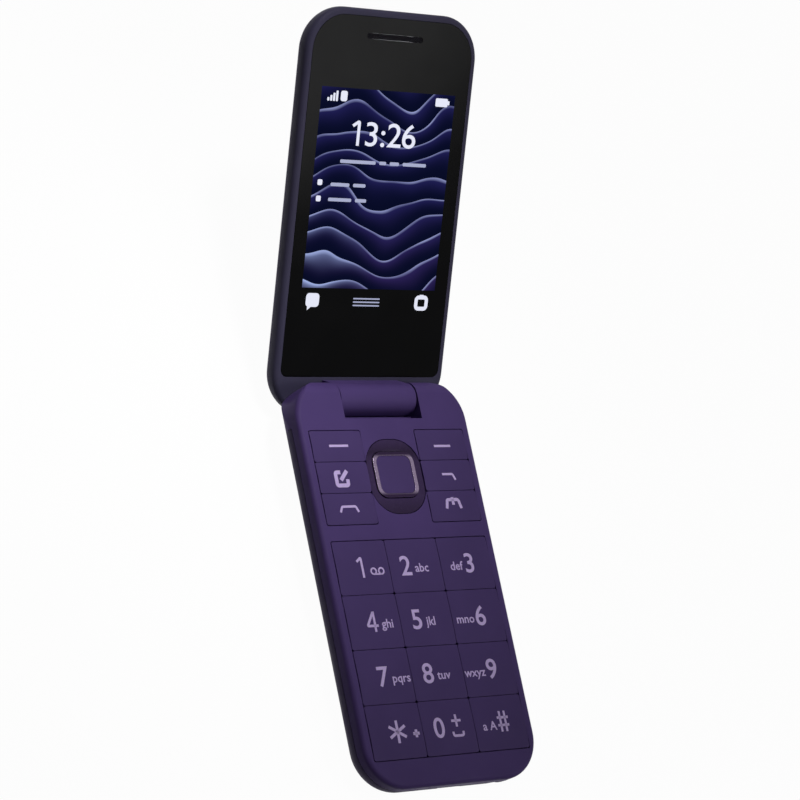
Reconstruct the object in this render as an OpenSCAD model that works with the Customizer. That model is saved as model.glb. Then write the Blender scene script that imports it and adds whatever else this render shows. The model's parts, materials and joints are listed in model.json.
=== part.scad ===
// Flip phone: keypad base and screen lid on an inset barrel hinge, drawn open.
// Row frame: X along the hinge axis, +Y from the user's end to the hinge, +Z out of the keypad deck.
// The origin is the centre of the base's flat back. The lid has its own frame: X as above,
// Y away from the hinge axis, Z = 0 on the face that carries the screen.

/* [Phone] */
// Width of base and lid
phone_w = 55; // [53:0.5:60]
// Length of the closed phone
phone_l = 108; // [105:0.5:116]
// Plan radius of the outer corners
corner_r = 11.5; // [9.5:0.5:12.5]
// Radius of the edge round the deck and round the screen side of the lid
front_edge_r = 1.2; // [0.6:0.1:1.4]
// Air between the deck and the closed lid
close_gap = 0.4; // [0.4:0.05:0.7]
// Angle between deck and screen side when the lid stands open
open_angle = 151; // [140:1:155]
// Width of the seams between casing parts
seam = 0.15; // [0.1:0.05:0.3]
// Play round a part that is dropped into its seat
seat_play = 0.1; // [0.05:0.05:0.2]

/* [Base casing] */
// Thickness of the base
base_t = 10.2; // [9.8:0.1:12]
// Radius of the base's back edge
base_edge_r = 6.2; // [4.5:0.1:6.4]
// Side wall of the base
base_wall = 1.6; // [1.2:0.1:1.8]
// Thickness of the keypad deck
deck_t = 1.5; // [1.2:0.1:1.8]
// Thickness of the battery cover at the back
cover_t = 1; // [0.8:0.1:1.2]
// Height of the battery cover's seam on the side
cover_seam_z = 2; // [1.7:0.1:2.2]
// Thickness of the plate that carries the main board
midplate_t = 0.5; // [0.4:0.1:0.7]

/* [Hinge] */
// Depth of the hinge axis below the deck, also the radius of the base's hinge end
axis_depth = 4.55; // [4.3:0.05:4.8]
// Width of the notch for the lid's knuckle
notch_w = 25; // [24:0.5:28]
// Reach of the notch from the axis towards the keys
notch_back = 6.6; // [6:0.1:7]
// Wall between the notch and the keypad cavity
notch_wall = 1.4; // [1:0.1:1.6]
// Play of the knuckle at each end of the notch
knuckle_play = 0.3; // [0.2:0.05:0.4]
// Radius of the hinge cartridge
cartridge_r = 2.9; // [2.6:0.1:3]
// Length of the hinge cartridge
cartridge_l = 16; // [13:0.5:17]
// Radius of the cartridge's shaft
shaft_r = 1.5; // [1.2:0.1:1.7]
// Radius of the shaft's head, keyed into the base
shaft_head_r = 2.4; // [2.2:0.1:2.6]
// Length of the shaft's head and of the bush, in the base
knuckle_reach = 7.5; // [6:0.5:8]
// Outer radius of the hollow bush
bush_r = 2.6; // [2.4:0.1:2.8]
// Wall of the hollow bush
bush_wall = 0.8; // [0.6:0.1:0.9]
// Running clearance of the turning fits
running_fit = 0.05; // [0.03:0.01:0.08]
// Radius of the rolled screen cable in the bush
flex_roll_r = 1.3; // [1:0.1:1.4]
// Width of the screen cable's ribbon
flex_w = 2.6; // [2:0.1:3]
// Thickness of the screen cable's ribbon
flex_t = 0.3; // [0.2:0.05:0.4]

/* [Lid casing] */
// Thickness of the lid
lid_t = 8; // [7.8:0.1:9]
// Radius of the lid's back edge
lid_edge_r = 6.4; // [4.5:0.1:6.6]
// Length of the lid's heel behind the axis
lid_heel = 5; // [4.5:0.1:5.4]
// How far the base's lip stands past the closed lid
lid_lip = 2.5; // [1:0.1:3]
// Side wall of the lid's back
lid_wall = 1.3; // [1:0.1:1.6]
// Back wall of the lid
lid_back_t = 1.5; // [1.4:0.1:1.7]
// Depth of the screen frame
frame_t = 3.4; // [3.3:0.1:3.8]

/* [Screens] */
// Rim of the frame round the front glass
window_rim = 1.9; // [1.5:0.1:2.3]
// Distance from the axis to the front glass
window_foot = 5.3; // [5:0.1:6]
// Radius of the front glass's corners at the hinge
window_foot_r = 2; // [1:0.1:3]
// Thickness of the front glass
window_t = 1; // [0.8:0.05:1.1]
// Distance from the lid's side to the lit area of the main screen
screen_side = 5.9; // [5.5:0.1:8]
// Lit height of the main screen
screen_h = 57.6; // [54:0.1:59]
// Distance from the axis to the lit area
screen_foot = 22.85; // [21:0.05:24]
// Border of the main display beside and above the lit area
display_rim = 2.2; // [1.8:0.1:2.4]
// Border of the main display below the lit area
display_tail = 5.5; // [4:0.1:6]
// Thickness of the main display
display_t = 1.9; // [1.6:0.1:2]
// Corner radius of both displays and of the earpiece
display_r = 1; // [0.5:0.1:1.5]
// Width of the outer window
outer_window_w = 36; // [34:0.5:40]
// Length of the outer window
outer_window_l = 54; // [52:0.5:58]
// Distance from the axis to the outer window
outer_window_foot = 11; // [9:0.5:14]
// Corner radius of the outer window
outer_window_r = 5; // [3:0.5:7]
// Thickness of the outer window
outer_window_t = 0.9; // [0.7:0.05:1]
// Width of the outer display
outer_display_w = 31; // [28:0.5:32]
// Length of the outer display
outer_display_l = 38; // [34:0.5:38]
// Thickness of the outer display
outer_display_t = 1.5; // [1.2:0.1:1.6]

/* [Lid fittings] */
// Width of the earpiece slot in the glass
ear_slot_w = 18; // [12:0.5:18.5]
// Height of the earpiece slot
ear_slot_h = 1.5; // [1:0.1:2]
// Distance from the lid's tip to the earpiece slot
ear_slot_inset = 6.8; // [5.5:0.1:8]
// Width of the earpiece
earpiece_w = 13; // [10:0.5:15]
// Height of the earpiece along the lid
earpiece_h = 6; // [5:0.5:6.5]
// Thickness of the earpiece
earpiece_t = 1.9; // [1.5:0.1:2]
// Side of the camera's body
camera_side = 8; // [7:0.1:8.5]
// Radius of the camera's lens barrel
camera_r = 3; // [2.5:0.1:3.2]
// Distance between the centres of camera and flash
camera_flash_x = 15; // [13:0.5:18]
// Distance from the edge of the outer window to the camera's centre
camera_inset = 6.5; // [6:0.1:7.5]
// Side of the flash
flash_side = 3.2; // [2.5:0.1:4]
// Distance from the front glass's foot to the lower lid screws
lid_screw_rise = 5.2; // [4.8:0.1:6]
// Distance from the front glass's sides to the lower lid screws
lid_screw_side = 5.6; // [5:0.1:6]
// Distance from the earpiece slot down to the upper lid screws
lid_screw_drop = 2; // [1.5:0.1:2.5]
// Thickness of the lid's circuit board
lid_board_t = 0.6; // [0.5:0.1:0.8]
// Length of the closing magnet
magnet_l = 6; // [4:0.5:7]
// Width of the closing magnet
magnet_w = 2; // [1.5:0.1:2.5]
// Gap between the closing magnet and the earpiece
magnet_gap = 1.5; // [1:0.1:2]
// Thickness of the closing magnet
magnet_t = 1.4; // [1:0.1:1.6]

/* [Keypad] */
// Deck beside the keys
key_margin = 2.6; // [2.4:0.1:4]
// Deck between the user's end and the last key row
key_chin = 7.4; // [7:0.1:9]
// Deck between the notch and the upper keys
key_brow = 3.2; // [2.6:0.1:4]
// Height of each of the upper key rows
upper_row = 8.4; // [7.6:0.1:8.8]
// Deck between the upper keys and the number keys
block_gap = 4.3; // [4.2:0.1:6]
// Groove between keys
key_gap = 0.15; // [0.12:0.01:0.3]
// Corner radius of a key
key_r = 0.6; // [0.4:0.1:1.5]
// Height of a key over the deck at its edge
key_proud = 0.02; // [0:0.01:0.06]
// Rise of a key's crown over its edge
key_crown = 0.16; // [0.1:0.01:0.2]
// Depth of a key below the deck
key_skirt = 0.6; // [0.5:0.05:0.7]
// Travel of a key
key_travel = 0.35; // [0.25:0.05:0.4]
// Width of the navigation ring
nav_w = 17.4; // [16.6:0.1:19]
// Height of the navigation ring
nav_h = 20; // [18.4:0.1:21]
// Corner radius of the navigation ring
nav_r = 7.6; // [6:0.1:8]
// Depth of the ring's dish, at its middle
nav_dish = 0.4; // [0.2:0.05:0.5]
// Width of the select key
select_w = 13.2; // [11:0.1:13.6]
// Height of the select key
select_h = 12.4; // [11:0.1:13.6]
// Corner radius of the select key
select_r = 3; // [2:0.1:4]
// Shift of the select key towards the hinge
select_shift = 0.5; // [0:0.1:0.6]
// Width of the metal bezel on the select key
bezel_w = 1.1; // [0.5:0.05:1.3]
// Depth of the shoulder that carries the bezel
bezel_seat = 0.5; // [0.3:0.05:0.7]
// Height of the bezel over the select key
bezel_rise = 0.12; // [0.05:0.01:0.15]
// Thickness of the rocking pad under the navigation ring
pad_t = 0.15; // [0.1:0.05:0.2]
// Thickness of the key mat
mat_t = 0.6; // [0.5:0.05:0.8]
// Side of the mat's plungers
plunger_side = 4; // [3:0.1:6]
// Depth of the slit round each plunger
plunger_step = 0.2; // [0.1:0.05:0.3]
// Thickness of the dome sheet
dome_t = 0.25; // [0.2:0.05:0.3]
// Height of the volume rocker on the side wall
rocker_h = 1.6; // [1.2:0.1:1.8]
// Length of the volume rocker
rocker_l = 18; // [14:0.5:20]
// How far the volume rocker stands out of the side
rocker_proud = 0.5; // [0.3:0.05:0.7]
// Distance from the hinge end to the volume rocker's centre
rocker_inset = 30; // [26:0.5:34]

/* [Base fittings] */
// Thickness of the main board
board_t = 0.8; // [0.7:0.1:1]
// Play between the main board and the side wall
board_play = 0.4; // [0.3:0.05:0.6]
// Width of the battery
battery_w = 34; // [32:0.5:36]
// Length of the battery
battery_l = 48; // [45:0.5:49]
// Corner radius of the battery
battery_r = 2; // [1:0.5:3]
// Wall of the battery bay
bay_wall = 1; // [0.8:0.1:1.2]
// Width of the battery contact block
contact_w = 9; // [7:0.5:10]
// Depth of the battery contact block
contact_l = 2.4; // [2:0.1:2.6]
// Length kept for the sockets at the user's end
port_depth = 15.5; // [15:0.5:17]
// Width of the charging socket's shell
usb_w = 7.6; // [7.4:0.1:8]
// Height of the charging socket's shell
usb_h = 2.7; // [2.5:0.1:2.9]
// Depth of the charging socket
usb_l = 5.6; // [5:0.1:6]
// Sheet of the charging socket's shell
usb_sheet = 0.3; // [0.25:0.05:0.35]
// Bore radius of the headset socket
jack_bore_r = 1.8; // [1.76:0.01:1.85]
// Outer radius of the headset socket
jack_r = 2.35; // [2.3:0.05:2.4]
// Depth of the headset socket's bore
jack_bore_l = 12; // [11.5:0.5:12.5]
// Gap between the headset socket and the screw post beside it
jack_gap = 0.85; // [0.5:0.05:1.5]
// Width of the loudspeaker
speaker_w = 18; // [16:0.5:19]
// Height of the loudspeaker along the base
speaker_l = 13; // [11:0.5:14]
// Thickness of the loudspeaker
speaker_t = 2.6; // [2.2:0.1:2.8]
// Distance of the loudspeaker from the side
speaker_inset = 6; // [5.5:0.1:7]
// Width of each sound slot
sound_slot = 0.8; // [0.6:0.1:1]
// Radius of the vibration motor
motor_r = 1.9; // [1.6:0.1:2]
// Length of the vibration motor
motor_l = 9; // [8:0.5:10]
// Length of the vibration motor's weight
weight_l = 3; // [2.5:0.1:3.5]
// Radius of the vibration motor's shaft
motor_shaft_r = 0.4; // [0.3:0.05:0.5]
// Distance of the vibration motor's outer end from the side
motor_inset = 5.5; // [5:0.1:7]
// Length of the shield cans
shield_l = 11; // [9:0.5:12]
// Width of each shield can
shield_w = 10; // [8:0.5:11]
// Gap between the shield cans
shield_gap = 3; // [2.5:0.1:4]
// Height of the shield cans
shield_h = 1.5; // [1.2:0.1:1.8]
// Length of the microphone
mic_l = 3; // [2.5:0.1:3.5]
// Distance of the microphone from the middle
mic_x = 8; // [7.5:0.1:9]
// Width of the antenna foil
antenna_w = 27; // [24:0.5:30]
// Radius of the casing screws
screw_r = 0.7; // [0.6:0.05:0.8]
// Radius of the casing screws' heads
screw_head_r = 1.4; // [1.2:0.05:1.5]
// Thickness of the casing screws' heads
screw_head_t = 0.7; // [0.5:0.05:0.8]
// Distance of the casing screws from the side
screw_inset = 8; // [7.5:0.1:9]
// Wall of a screw boss
boss_wall = 0.9; // [0.7:0.05:1]

/* [Hidden] */
$fn = 96;
NUMBER_KEYS = ["key_1", "key_2", "key_3", "key_4", "key_5", "key_6",
               "key_7", "key_8", "key_9", "key_star", "key_0", "key_hash"];
// Upper keys beside the navigation ring, left column then right column, from the hinge down
UPPER_KEYS = ["soft_key_left", "menu_key", "call_key", "soft_key_right", "back_key", "end_key"];

// Colours of the parts
purple = "#4a3a68";
dark_purple = "#2c2440";
key_purple = "#43345d";
frame_grey = "#2d2a3a";
near_black = "#18171b";
steel = "#b9bbc0";
board_green = "#1f5a3c";

// A cut runs this far past the face that it opens
over = 1;
// Radial play of a screw's thread in its boss
thread_play = 0.02;
// Depth of the flats that planes leave on the barrel and on its bore, so that no plane is tangent
nose_flat = 0.03;

// Base plan
half_w = phone_w / 2;
half_l = phone_l / 2;
axis_y = half_l - axis_depth;
axis_z = base_t - axis_depth;
corner_y = half_l - corner_r;
notch_y = axis_y - notch_back;
hinge_wall_y = notch_y - notch_wall;
lid_rise = 180 - open_angle;

// Levels in the base, from the deck down to the back
deck_under = base_t - deck_t;
key_foot_z = deck_under - key_skirt;
mat_top = key_foot_z - key_travel - seat_play / 2;
mat_foot = mat_top - mat_t;
dome_top = mat_foot;
board_top = dome_top - dome_t;
board_foot = board_top - board_t;
plate_foot = board_foot - midplate_t;
battery_top = plate_foot - seat_play;
battery_foot = cover_t + seat_play;

// How far the rounded back edge has drawn in at a height, for an edge radius
function tuck(radius, height) =
    height >= radius ? 0 : radius - sqrt(radius * radius - (radius - height) * (radius - height));

// Keypad plan
field_w = phone_w - 2 * key_margin;
number_foot_y = key_chin - half_l;
upper_top_y = notch_y - key_brow;
upper_mid_y = upper_top_y - 1.5 * upper_row;
number_top_y = upper_top_y - 3 * upper_row - block_gap;
number_row = (number_top_y - number_foot_y) / 4;
number_col = (field_w + key_gap) / 3;
upper_key_w = (field_w - nav_w) / 2 - key_gap;
upper_key_x = (nav_w + upper_key_w) / 2 + key_gap;
gap_y = number_top_y + block_gap / 2;
rocker_y = half_l - rocker_inset;
rocker_z = (board_top + deck_under) / 2;

// Base fittings plan
screw_x = half_w - screw_inset;
motor_x = half_w - motor_inset;
speaker_x = half_w - speaker_inset - speaker_w / 2;
bay_y = port_depth - half_l;
bay_end_y = bay_y + battery_l + 2 * seat_play;
post_r = screw_head_r + boss_wall;
fitting_y = max(bay_end_y + contact_l + 2 * seat_play, gap_y + post_r) + 2 * seat_play;
board_l = hinge_wall_y + half_l - base_wall - 2 * board_play;
board_y = (hinge_wall_y - half_l + base_wall) / 2;
board_w = phone_w - 2 * base_wall - 2 * board_play;
cavity_l = hinge_wall_y + half_l - base_wall;
cavity_y = (hinge_wall_y - half_l + base_wall) / 2;
jack_x = screw_x - post_r - jack_gap - jack_r;
jack_neck_r = (jack_bore_r + jack_r) / 2;
jack_z = board_top - jack_r - seat_play;
jack_mouth_y = tuck(base_edge_r, jack_z - jack_neck_r) - half_l;
motor_y = fitting_y + motor_r;
motor_z = plate_foot - motor_r - seat_play;
speaker_y = fitting_y + speaker_l / 2;
speaker_foot = plate_foot - speaker_t;
shield_y = hinge_wall_y - board_play - base_wall - shield_l / 2;
shield_x = (shield_w + shield_gap) / 2;
rear_inset = base_wall + tuck(base_edge_r, cover_seam_z);
cover_inset = base_wall + tuck(base_edge_r, cover_t);
chin_screw_y = (base_wall - half_l + number_foot_y) / 2;
boss_r = screw_r + boss_wall;

// Lid plan, in the lid's own frame
lid_tip = half_l + axis_y - lid_lip;
lid_l = lid_tip + lid_heel;
lid_mid = (lid_tip - lid_heel) / 2;
axis_lift = axis_depth + close_gap;
knuckle_half = notch_w / 2 - knuckle_play;
knuckle_r = axis_depth - knuckle_play / 2;
window_tip = lid_tip - window_rim;
window_w = phone_w - 2 * window_rim;
window_bed = window_t + seat_play / 2;
display_w = phone_w - 2 * (screen_side - display_rim);
display_foot = screen_foot - display_tail;
display_l = screen_h + display_tail + display_rim;
display_mid = display_foot + display_l / 2;
ear_y = lid_tip - ear_slot_inset;
lid_board_foot = frame_t + seat_play;
lid_inside = lid_t - lid_back_t;
outer_window_mid = outer_window_foot + outer_window_l / 2;
outer_face = lid_t - outer_window_t - seat_play / 2;
camera_y = outer_window_foot + camera_inset;
outer_display_y = camera_y + camera_side / 2 + seat_play * 4 + outer_display_l / 2;
lid_screw_low = window_foot + lid_screw_rise;
lid_screw_high = ear_y - lid_screw_drop;
lid_screw_x = half_w - window_rim - lid_screw_side;

// Square with rounded corners, about the origin
module rounded_plan(w, l, r) {
    square([w - 2 * r, l], center = true);
    square([w, l - 2 * r], center = true);
    for (x = [-1, 1], y = [-1, 1])
        translate([x * (w / 2 - r), y * (l / 2 - r)]) circle(r);
}

module rounded_block(w, l, h, r) {
    linear_extrude(h) rounded_plan(w, l, r);
}

// Bar with half-round ends along Y, about the origin
module slot_block(w, l, h) {
    linear_extrude(h) {
        square([w, l - w], center = true);
        for (end = [-1, 1]) translate([0, end * (l - w) / 2]) circle(w / 2);
    }
}

// Section of a casing's rim, from its corner centre out, back edge at the bottom
module rim_section(r, t, back_r, front_r) {
    difference() {
        square([r, t]);
        if (back_r > 0) translate([r - back_r, 0]) difference() {
            translate([0, -over]) square([back_r + over, back_r + over]);
            translate([0, back_r]) circle(back_r);
        }
        translate([r - front_r, t - front_r]) difference() {
            square(front_r + over);
            circle(front_r);
        }
    }
}

// A straight run of the rim along Y, on the +X side
module rim_run(length, r, t, back_r, front_r) {
    rotate([90, 0, 0]) linear_extrude(length, center = true) rim_section(r, t, back_r, front_r);
}

// Casing slab with rounded corners and rims, back at z = 0
module casing_slab(w, l, t, r, back_r, front_r) {
    translate([r - w / 2, r - l / 2, 0]) cube([w - 2 * r, l - 2 * r, t]);
    for (turn = [0 : 3]) {
        span = turn % 2 == 0 ? [w, l] : [l, w];
        rotate(90 * turn) translate([span[0] / 2 - r, 0, 0]) {
            rim_run(span[1] - 2 * r, r, t, back_r, front_r);
            translate([0, span[1] / 2 - r, 0])
                rotate_extrude(angle = 90) rim_section(r, t, back_r, front_r);
        }
    }
}

// Base from the user's end to where its corners start to turn at the hinge
module base_straight() {
    run = phone_l - 2 * corner_r;
    translate([corner_r - half_w, -corner_y, 0]) cube([phone_w - 2 * corner_r, run, base_t]);
    for (side = [0, 1]) mirror([side, 0, 0]) translate([half_w - corner_r, 0, 0]) {
        rim_run(run, corner_r, base_t, base_edge_r, front_edge_r);
        translate([0, -corner_y, 0]) rotate(-90)
            rotate_extrude(angle = 90) rim_section(corner_r, base_t, base_edge_r, front_edge_r);
    }
    translate([0, -corner_y, 0]) rotate(-90)
        rim_run(phone_w - 2 * corner_r, corner_r, base_t, base_edge_r, front_edge_r);
}

// Side view of the hinge end: a barrel round the axis, and a flat that the open lid stops against
module hinge_end_side() {
    stop = [sin(open_angle), cos(open_angle)];
    foot_y = axis_y + (axis_depth + axis_z * stop[1]) / stop[0];
    polygon([[corner_y, 0], [foot_y, 0],
             [axis_y + axis_depth * stop[0], axis_z + axis_depth * stop[1]],
             [axis_y, axis_z], [axis_y, base_t + over], [corner_y, base_t + over]]);
    translate([axis_y, axis_z]) circle(axis_depth + nose_flat);
}

// Front view of the hinge end: only the rounded back edges limit it
module hinge_end_front() {
    difference() {
        translate([-half_w - over, 0]) square([phone_w + 2 * over, base_t]);
        for (side = [0, 1]) mirror([side, 0]) translate([half_w - base_edge_r, 0]) difference() {
            translate([0, -over]) square([base_edge_r + 2 * over, base_edge_r + over]);
            translate([0, base_edge_r]) circle(base_edge_r);
        }
    }
}

module base_hinge_end() {
    intersection() {
        union() {
            translate([corner_r - half_w, corner_y, 0])
                cube([phone_w - 2 * corner_r, corner_r, base_t]);
            for (side = [0, 1]) mirror([side, 0, 0]) translate([half_w - corner_r, corner_y, 0])
                rotate_extrude(angle = 90) rim_section(corner_r, base_t, 0, front_edge_r);
        }
        rotate([90, 0, 90]) linear_extrude(phone_w + 2 * over, center = true) hinge_end_side();
        translate([0, corner_y + corner_r / 2, 0]) rotate([90, 0, 0])
            linear_extrude(corner_r + 2 * over, center = true) hinge_end_front();
    }
}

module base_body() {
    base_straight();
    base_hinge_end();
}

// Everything in the base between two levels, up to a line along Y
module base_band(low, high, end_y) {
    intersection() {
        base_body();
        translate([-half_w - over, -half_l - over, low])
            cube([phone_w + 2 * over, end_y + half_l + over, high - low]);
    }
}

module x_cylinder(r, from, to) {
    translate([from, axis_y, axis_z]) rotate([0, 90, 0]) cylinder(r = r, h = to - from);
}

module base_screw_places() {
    for (x = [-screw_x, screw_x], y = [chin_screw_y, gap_y]) translate([x, y, 0]) children();
}

// Keys

module key_openings() {
    number_l = number_top_y - number_foot_y;
    translate([0, number_foot_y + number_l / 2, deck_under - over])
        rounded_block(field_w + 2 * key_gap, number_l + 2 * key_gap, deck_t + 2 * over, key_r);
    for (x = [-upper_key_x, upper_key_x]) translate([x, upper_mid_y, deck_under - over])
        rounded_block(upper_key_w + 2 * key_gap, 3 * upper_row + 2 * key_gap,
                      deck_t + 2 * over, key_r);
    translate([0, upper_mid_y, deck_under - over])
        rounded_block(nav_w + 2 * key_gap, nav_h + 2 * key_gap, deck_t + 2 * over, nav_r);
}

// Key cap crowned along Y, its skirt hanging below the deck
module key_cap(w, l) {
    crown_r = (l * l / 4 + key_crown * key_crown) / (2 * key_crown);
    top = base_t + key_proud + key_crown;
    intersection() {
        translate([0, 0, key_foot_z]) rounded_block(w, l, top - key_foot_z + over, key_r);
        translate([0, 0, top - crown_r]) rotate([0, 90, 0])
            cylinder(r = crown_r, h = w + 2 * over, center = true, $fn = 360);
    }
}

function number_key_x(i) = (i % 3 - 1) * number_col;
function number_key_y(i) = number_top_y - (floor(i / 3) + 0.5) * number_row;
function upper_x(i) = i < 3 ? -upper_key_x : upper_key_x;
function upper_y(i) = upper_mid_y + (1 - i % 3) * upper_row;

module number_key(i) {
    color(key_purple) translate([number_key_x(i), number_key_y(i), 0])
        key_cap(number_col - key_gap, number_row - key_gap);
}

module upper_key(i) {
    color(key_purple) translate([upper_x(i), upper_y(i), 0])
        key_cap(upper_key_w, upper_row - key_gap);
}

module select_outline(grow) {
    translate([0, select_shift])
        rounded_plan(select_w + 2 * grow, select_h + 2 * grow, select_r + grow);
}

// Ring that rocks four ways round the select key, dished towards it
module nav_ring() {
    reach = nav_h / 2 + over;
    dish_r = (reach * reach + nav_dish * nav_dish) / (2 * nav_dish);
    color(dark_purple) translate([0, upper_mid_y, 0]) difference() {
        translate([0, 0, key_foot_z]) rounded_block(nav_w, nav_h, base_t - key_foot_z, nav_r);
        translate([0, 0, key_foot_z - over])
            linear_extrude(base_t - key_foot_z + 2 * over) select_outline(key_gap);
        translate([0, 0, base_t - nav_dish + dish_r]) sphere(dish_r, $fn = 180);
    }
}

// Silicone pads under the ring, which let it rock sideways
module nav_pad() {
    color(near_black) translate([0, upper_mid_y, key_foot_z - seat_play - pad_t]) difference() {
        rounded_block(nav_w - 2 * key_gap, 2 * select_r, pad_t, select_r - key_gap);
        translate([0, 0, -over]) linear_extrude(pad_t + 2 * over) select_outline(2 * key_gap);
    }
}

// Middle key, stepped at its edge for the bezel
module select_key() {
    top = base_t + key_proud - key_foot_z;
    color(key_purple) translate([0, upper_mid_y, key_foot_z]) {
        linear_extrude(top - bezel_seat) select_outline(0);
        linear_extrude(top) select_outline(-bezel_w - seat_play / 2);
    }
}

module select_bezel() {
    seat_z = base_t + key_proud - bezel_seat;
    color(steel) translate([0, upper_mid_y, seat_z]) difference() {
        linear_extrude(bezel_seat + bezel_rise) select_outline(0);
        translate([0, 0, -over]) linear_extrude(bezel_seat + 2 * over) select_outline(-bezel_w);
    }
}

module volume_rocker() {
    color(dark_purple) translate([half_w - base_wall - seat_play, rocker_y, rocker_z])
        rotate([0, 90, 0]) slot_block(rocker_h, rocker_l, base_wall + rocker_proud + seat_play);
}

// Rubber mat with a plunger under every key
module key_mat() {
    mat_w = field_w + key_gap;
    mat_l = upper_top_y - number_foot_y + key_gap;
    slit = plunger_side + 4 * key_gap;
    color("#5a5560") difference() {
        translate([0, (upper_top_y + number_foot_y) / 2, mat_foot])
            rounded_block(mat_w, mat_l, mat_t, key_r);
        for (i = [0 : len(NUMBER_KEYS) - 1])
            translate([number_key_x(i), number_key_y(i), 0]) plunger_slit(slit);
        for (i = [0 : len(UPPER_KEYS) - 1])
            translate([upper_x(i), upper_y(i), 0]) plunger_slit(slit);
        translate([0, upper_mid_y, mat_top - plunger_step])
            rounded_block(nav_w, nav_h, plunger_step + over, nav_r);
        base_screw_places() translate([0, 0, mat_foot - over])
            cylinder(r = boss_r + seat_play, h = mat_t + 2 * over);
    }
}

module plunger_slit(side) {
    translate([0, 0, mat_top - plunger_step]) linear_extrude(plunger_step + over) difference() {
        square(side, center = true);
        square(plunger_side, center = true);
    }
}

// Sheet of snap domes on the main board
module dome_sheet() {
    dome_inset = 2;
    sheet_l = upper_top_y - number_foot_y - dome_inset;
    color("#c9c4b4") difference() {
        translate([0, (upper_top_y + number_foot_y) / 2, board_top])
            rounded_block(field_w - dome_inset, sheet_l, dome_t, key_r);
        base_screw_places() translate([0, 0, board_top - over])
            cylinder(r = boss_r + seat_play, h = dome_t + 2 * over);
    }
}

// Base casing

module base_front_housing() {
    color(purple) {
        difference() {
            base_body();
            translate([-half_w - over, -half_l - over, -over])
                cube([phone_w + 2 * over, hinge_wall_y + half_l + over, board_top + over]);
            translate([0, cavity_y, board_top - over]) keypad_cavity();
            key_openings();
            hinge_notch();
            x_cylinder(shaft_head_r + running_fit, 0, notch_w / 2 + knuckle_reach + seat_play);
            x_cylinder(bush_r + running_fit, -notch_w / 2 - knuckle_reach - seat_play, 0);
            rocker_slot();
            translate([-mic_x, -half_l - over, rocker_z])
                rotate([-90, 0, 0]) cylinder(r = sound_slot / 2, h = base_wall + 2 * over);
        }
        base_screw_places() translate([0, 0, board_foot]) difference() {
            cylinder(r = boss_r, h = deck_under - board_foot);
            translate([0, 0, -over])
                cylinder(r = screw_r + thread_play, h = deck_under - board_foot - midplate_t + over);
        }
    }
}

// Room under the deck, round at the user's end and square at the hinge
module keypad_cavity() {
    cavity_w = phone_w - 2 * base_wall;
    cavity_h = deck_under - board_top + over;
    rounded_block(cavity_w, cavity_l, cavity_h, corner_r - base_wall);
    translate([-cavity_w / 2, 0, 0]) cube([cavity_w, cavity_l / 2, cavity_h]);
}

// Side view of the room for the knuckle: a trough at the deck, a bore round the barrel,
// and the way that the web takes to its open stop
module notch_side() {
    room_r = knuckle_r + knuckle_play;
    translate([notch_y, axis_z]) square([half_l - notch_y + over, axis_depth + over]);
    translate([axis_y, axis_z]) {
        circle(room_r);
        rotate(lid_rise) translate([2 * nose_flat - room_r, -base_t])
            square([base_t + room_r, base_t]);
    }
}

module hinge_notch() {
    rotate([90, 0, 90]) linear_extrude(notch_w, center = true) notch_side();
}

module rocker_slot() {
    translate([half_w - base_wall - over, rocker_y, rocker_z])
        rotate([0, 90, 0])
            slot_block(rocker_h + 2 * seat_play, rocker_l + 4 * seat_play, base_wall + 2 * over);
}

module base_rear_housing() {
    rear_end = hinge_wall_y - seam;
    pocket_w = phone_w - 2 * rear_inset;
    pocket_l = rear_end + half_l - rear_inset - base_wall;
    pocket_y = (rear_end - half_l + rear_inset - base_wall) / 2;
    color(dark_purple) {
        difference() {
            base_band(cover_seam_z, board_top - seam, rear_end);
            translate([0, board_y, board_foot])
                rounded_block(board_w + 2 * board_play, board_l + 2 * board_play, board_t + over,
                              corner_r - base_wall);
            translate([0, pocket_y, cover_seam_z - over])
                rounded_block(pocket_w, pocket_l, plate_foot - cover_seam_z + over,
                              corner_r - rear_inset / 2);
            board_side_cuts();
            translate([jack_x, -half_l - over, jack_z]) rotate([-90, 0, 0])
                cylinder(r = jack_neck_r + seat_play, h = rear_inset + 2 * over);
            translate([jack_x, -half_l + rear_inset, jack_z]) rotate([-90, 0, 0])
                cylinder(r = jack_r + seat_play, h = jack_bore_l);
            translate([-usb_w / 2 - seat_play, -half_l - over, board_foot - usb_h - seat_play])
                cube([usb_w + 2 * seat_play, usb_l + base_wall + over, usb_h + seat_play]);
            base_screw_places() screw_hole();
        }
        bay_ring();
        base_screw_places() difference() {
            translate([0, 0, cover_seam_z])
                cylinder(r = post_r, h = plate_foot - cover_seam_z);
            screw_hole();
        }
    }
}

module screw_hole() {
    cylinder(r = screw_r + seat_play, h = base_t);
    translate([0, 0, -over])
        cylinder(r = screw_head_r + seat_play, h = cover_seam_z + screw_head_t + seat_play + over);
}

// Openings in the plate under the main board for what hangs from the board
module board_side_cuts() {
    for (x = [-1, 1]) translate([x * shield_x, shield_y, plate_foot - over])
        rounded_block(shield_w + 4 * seat_play, shield_l + 4 * seat_play,
                      midplate_t + board_t + 2 * over, 4 * seat_play);
    translate([-contact_w / 2 - seat_play, bay_end_y, plate_foot - over])
        cube([contact_w + 2 * seat_play, contact_l + seat_play, midplate_t + 2 * over]);
}

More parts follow.
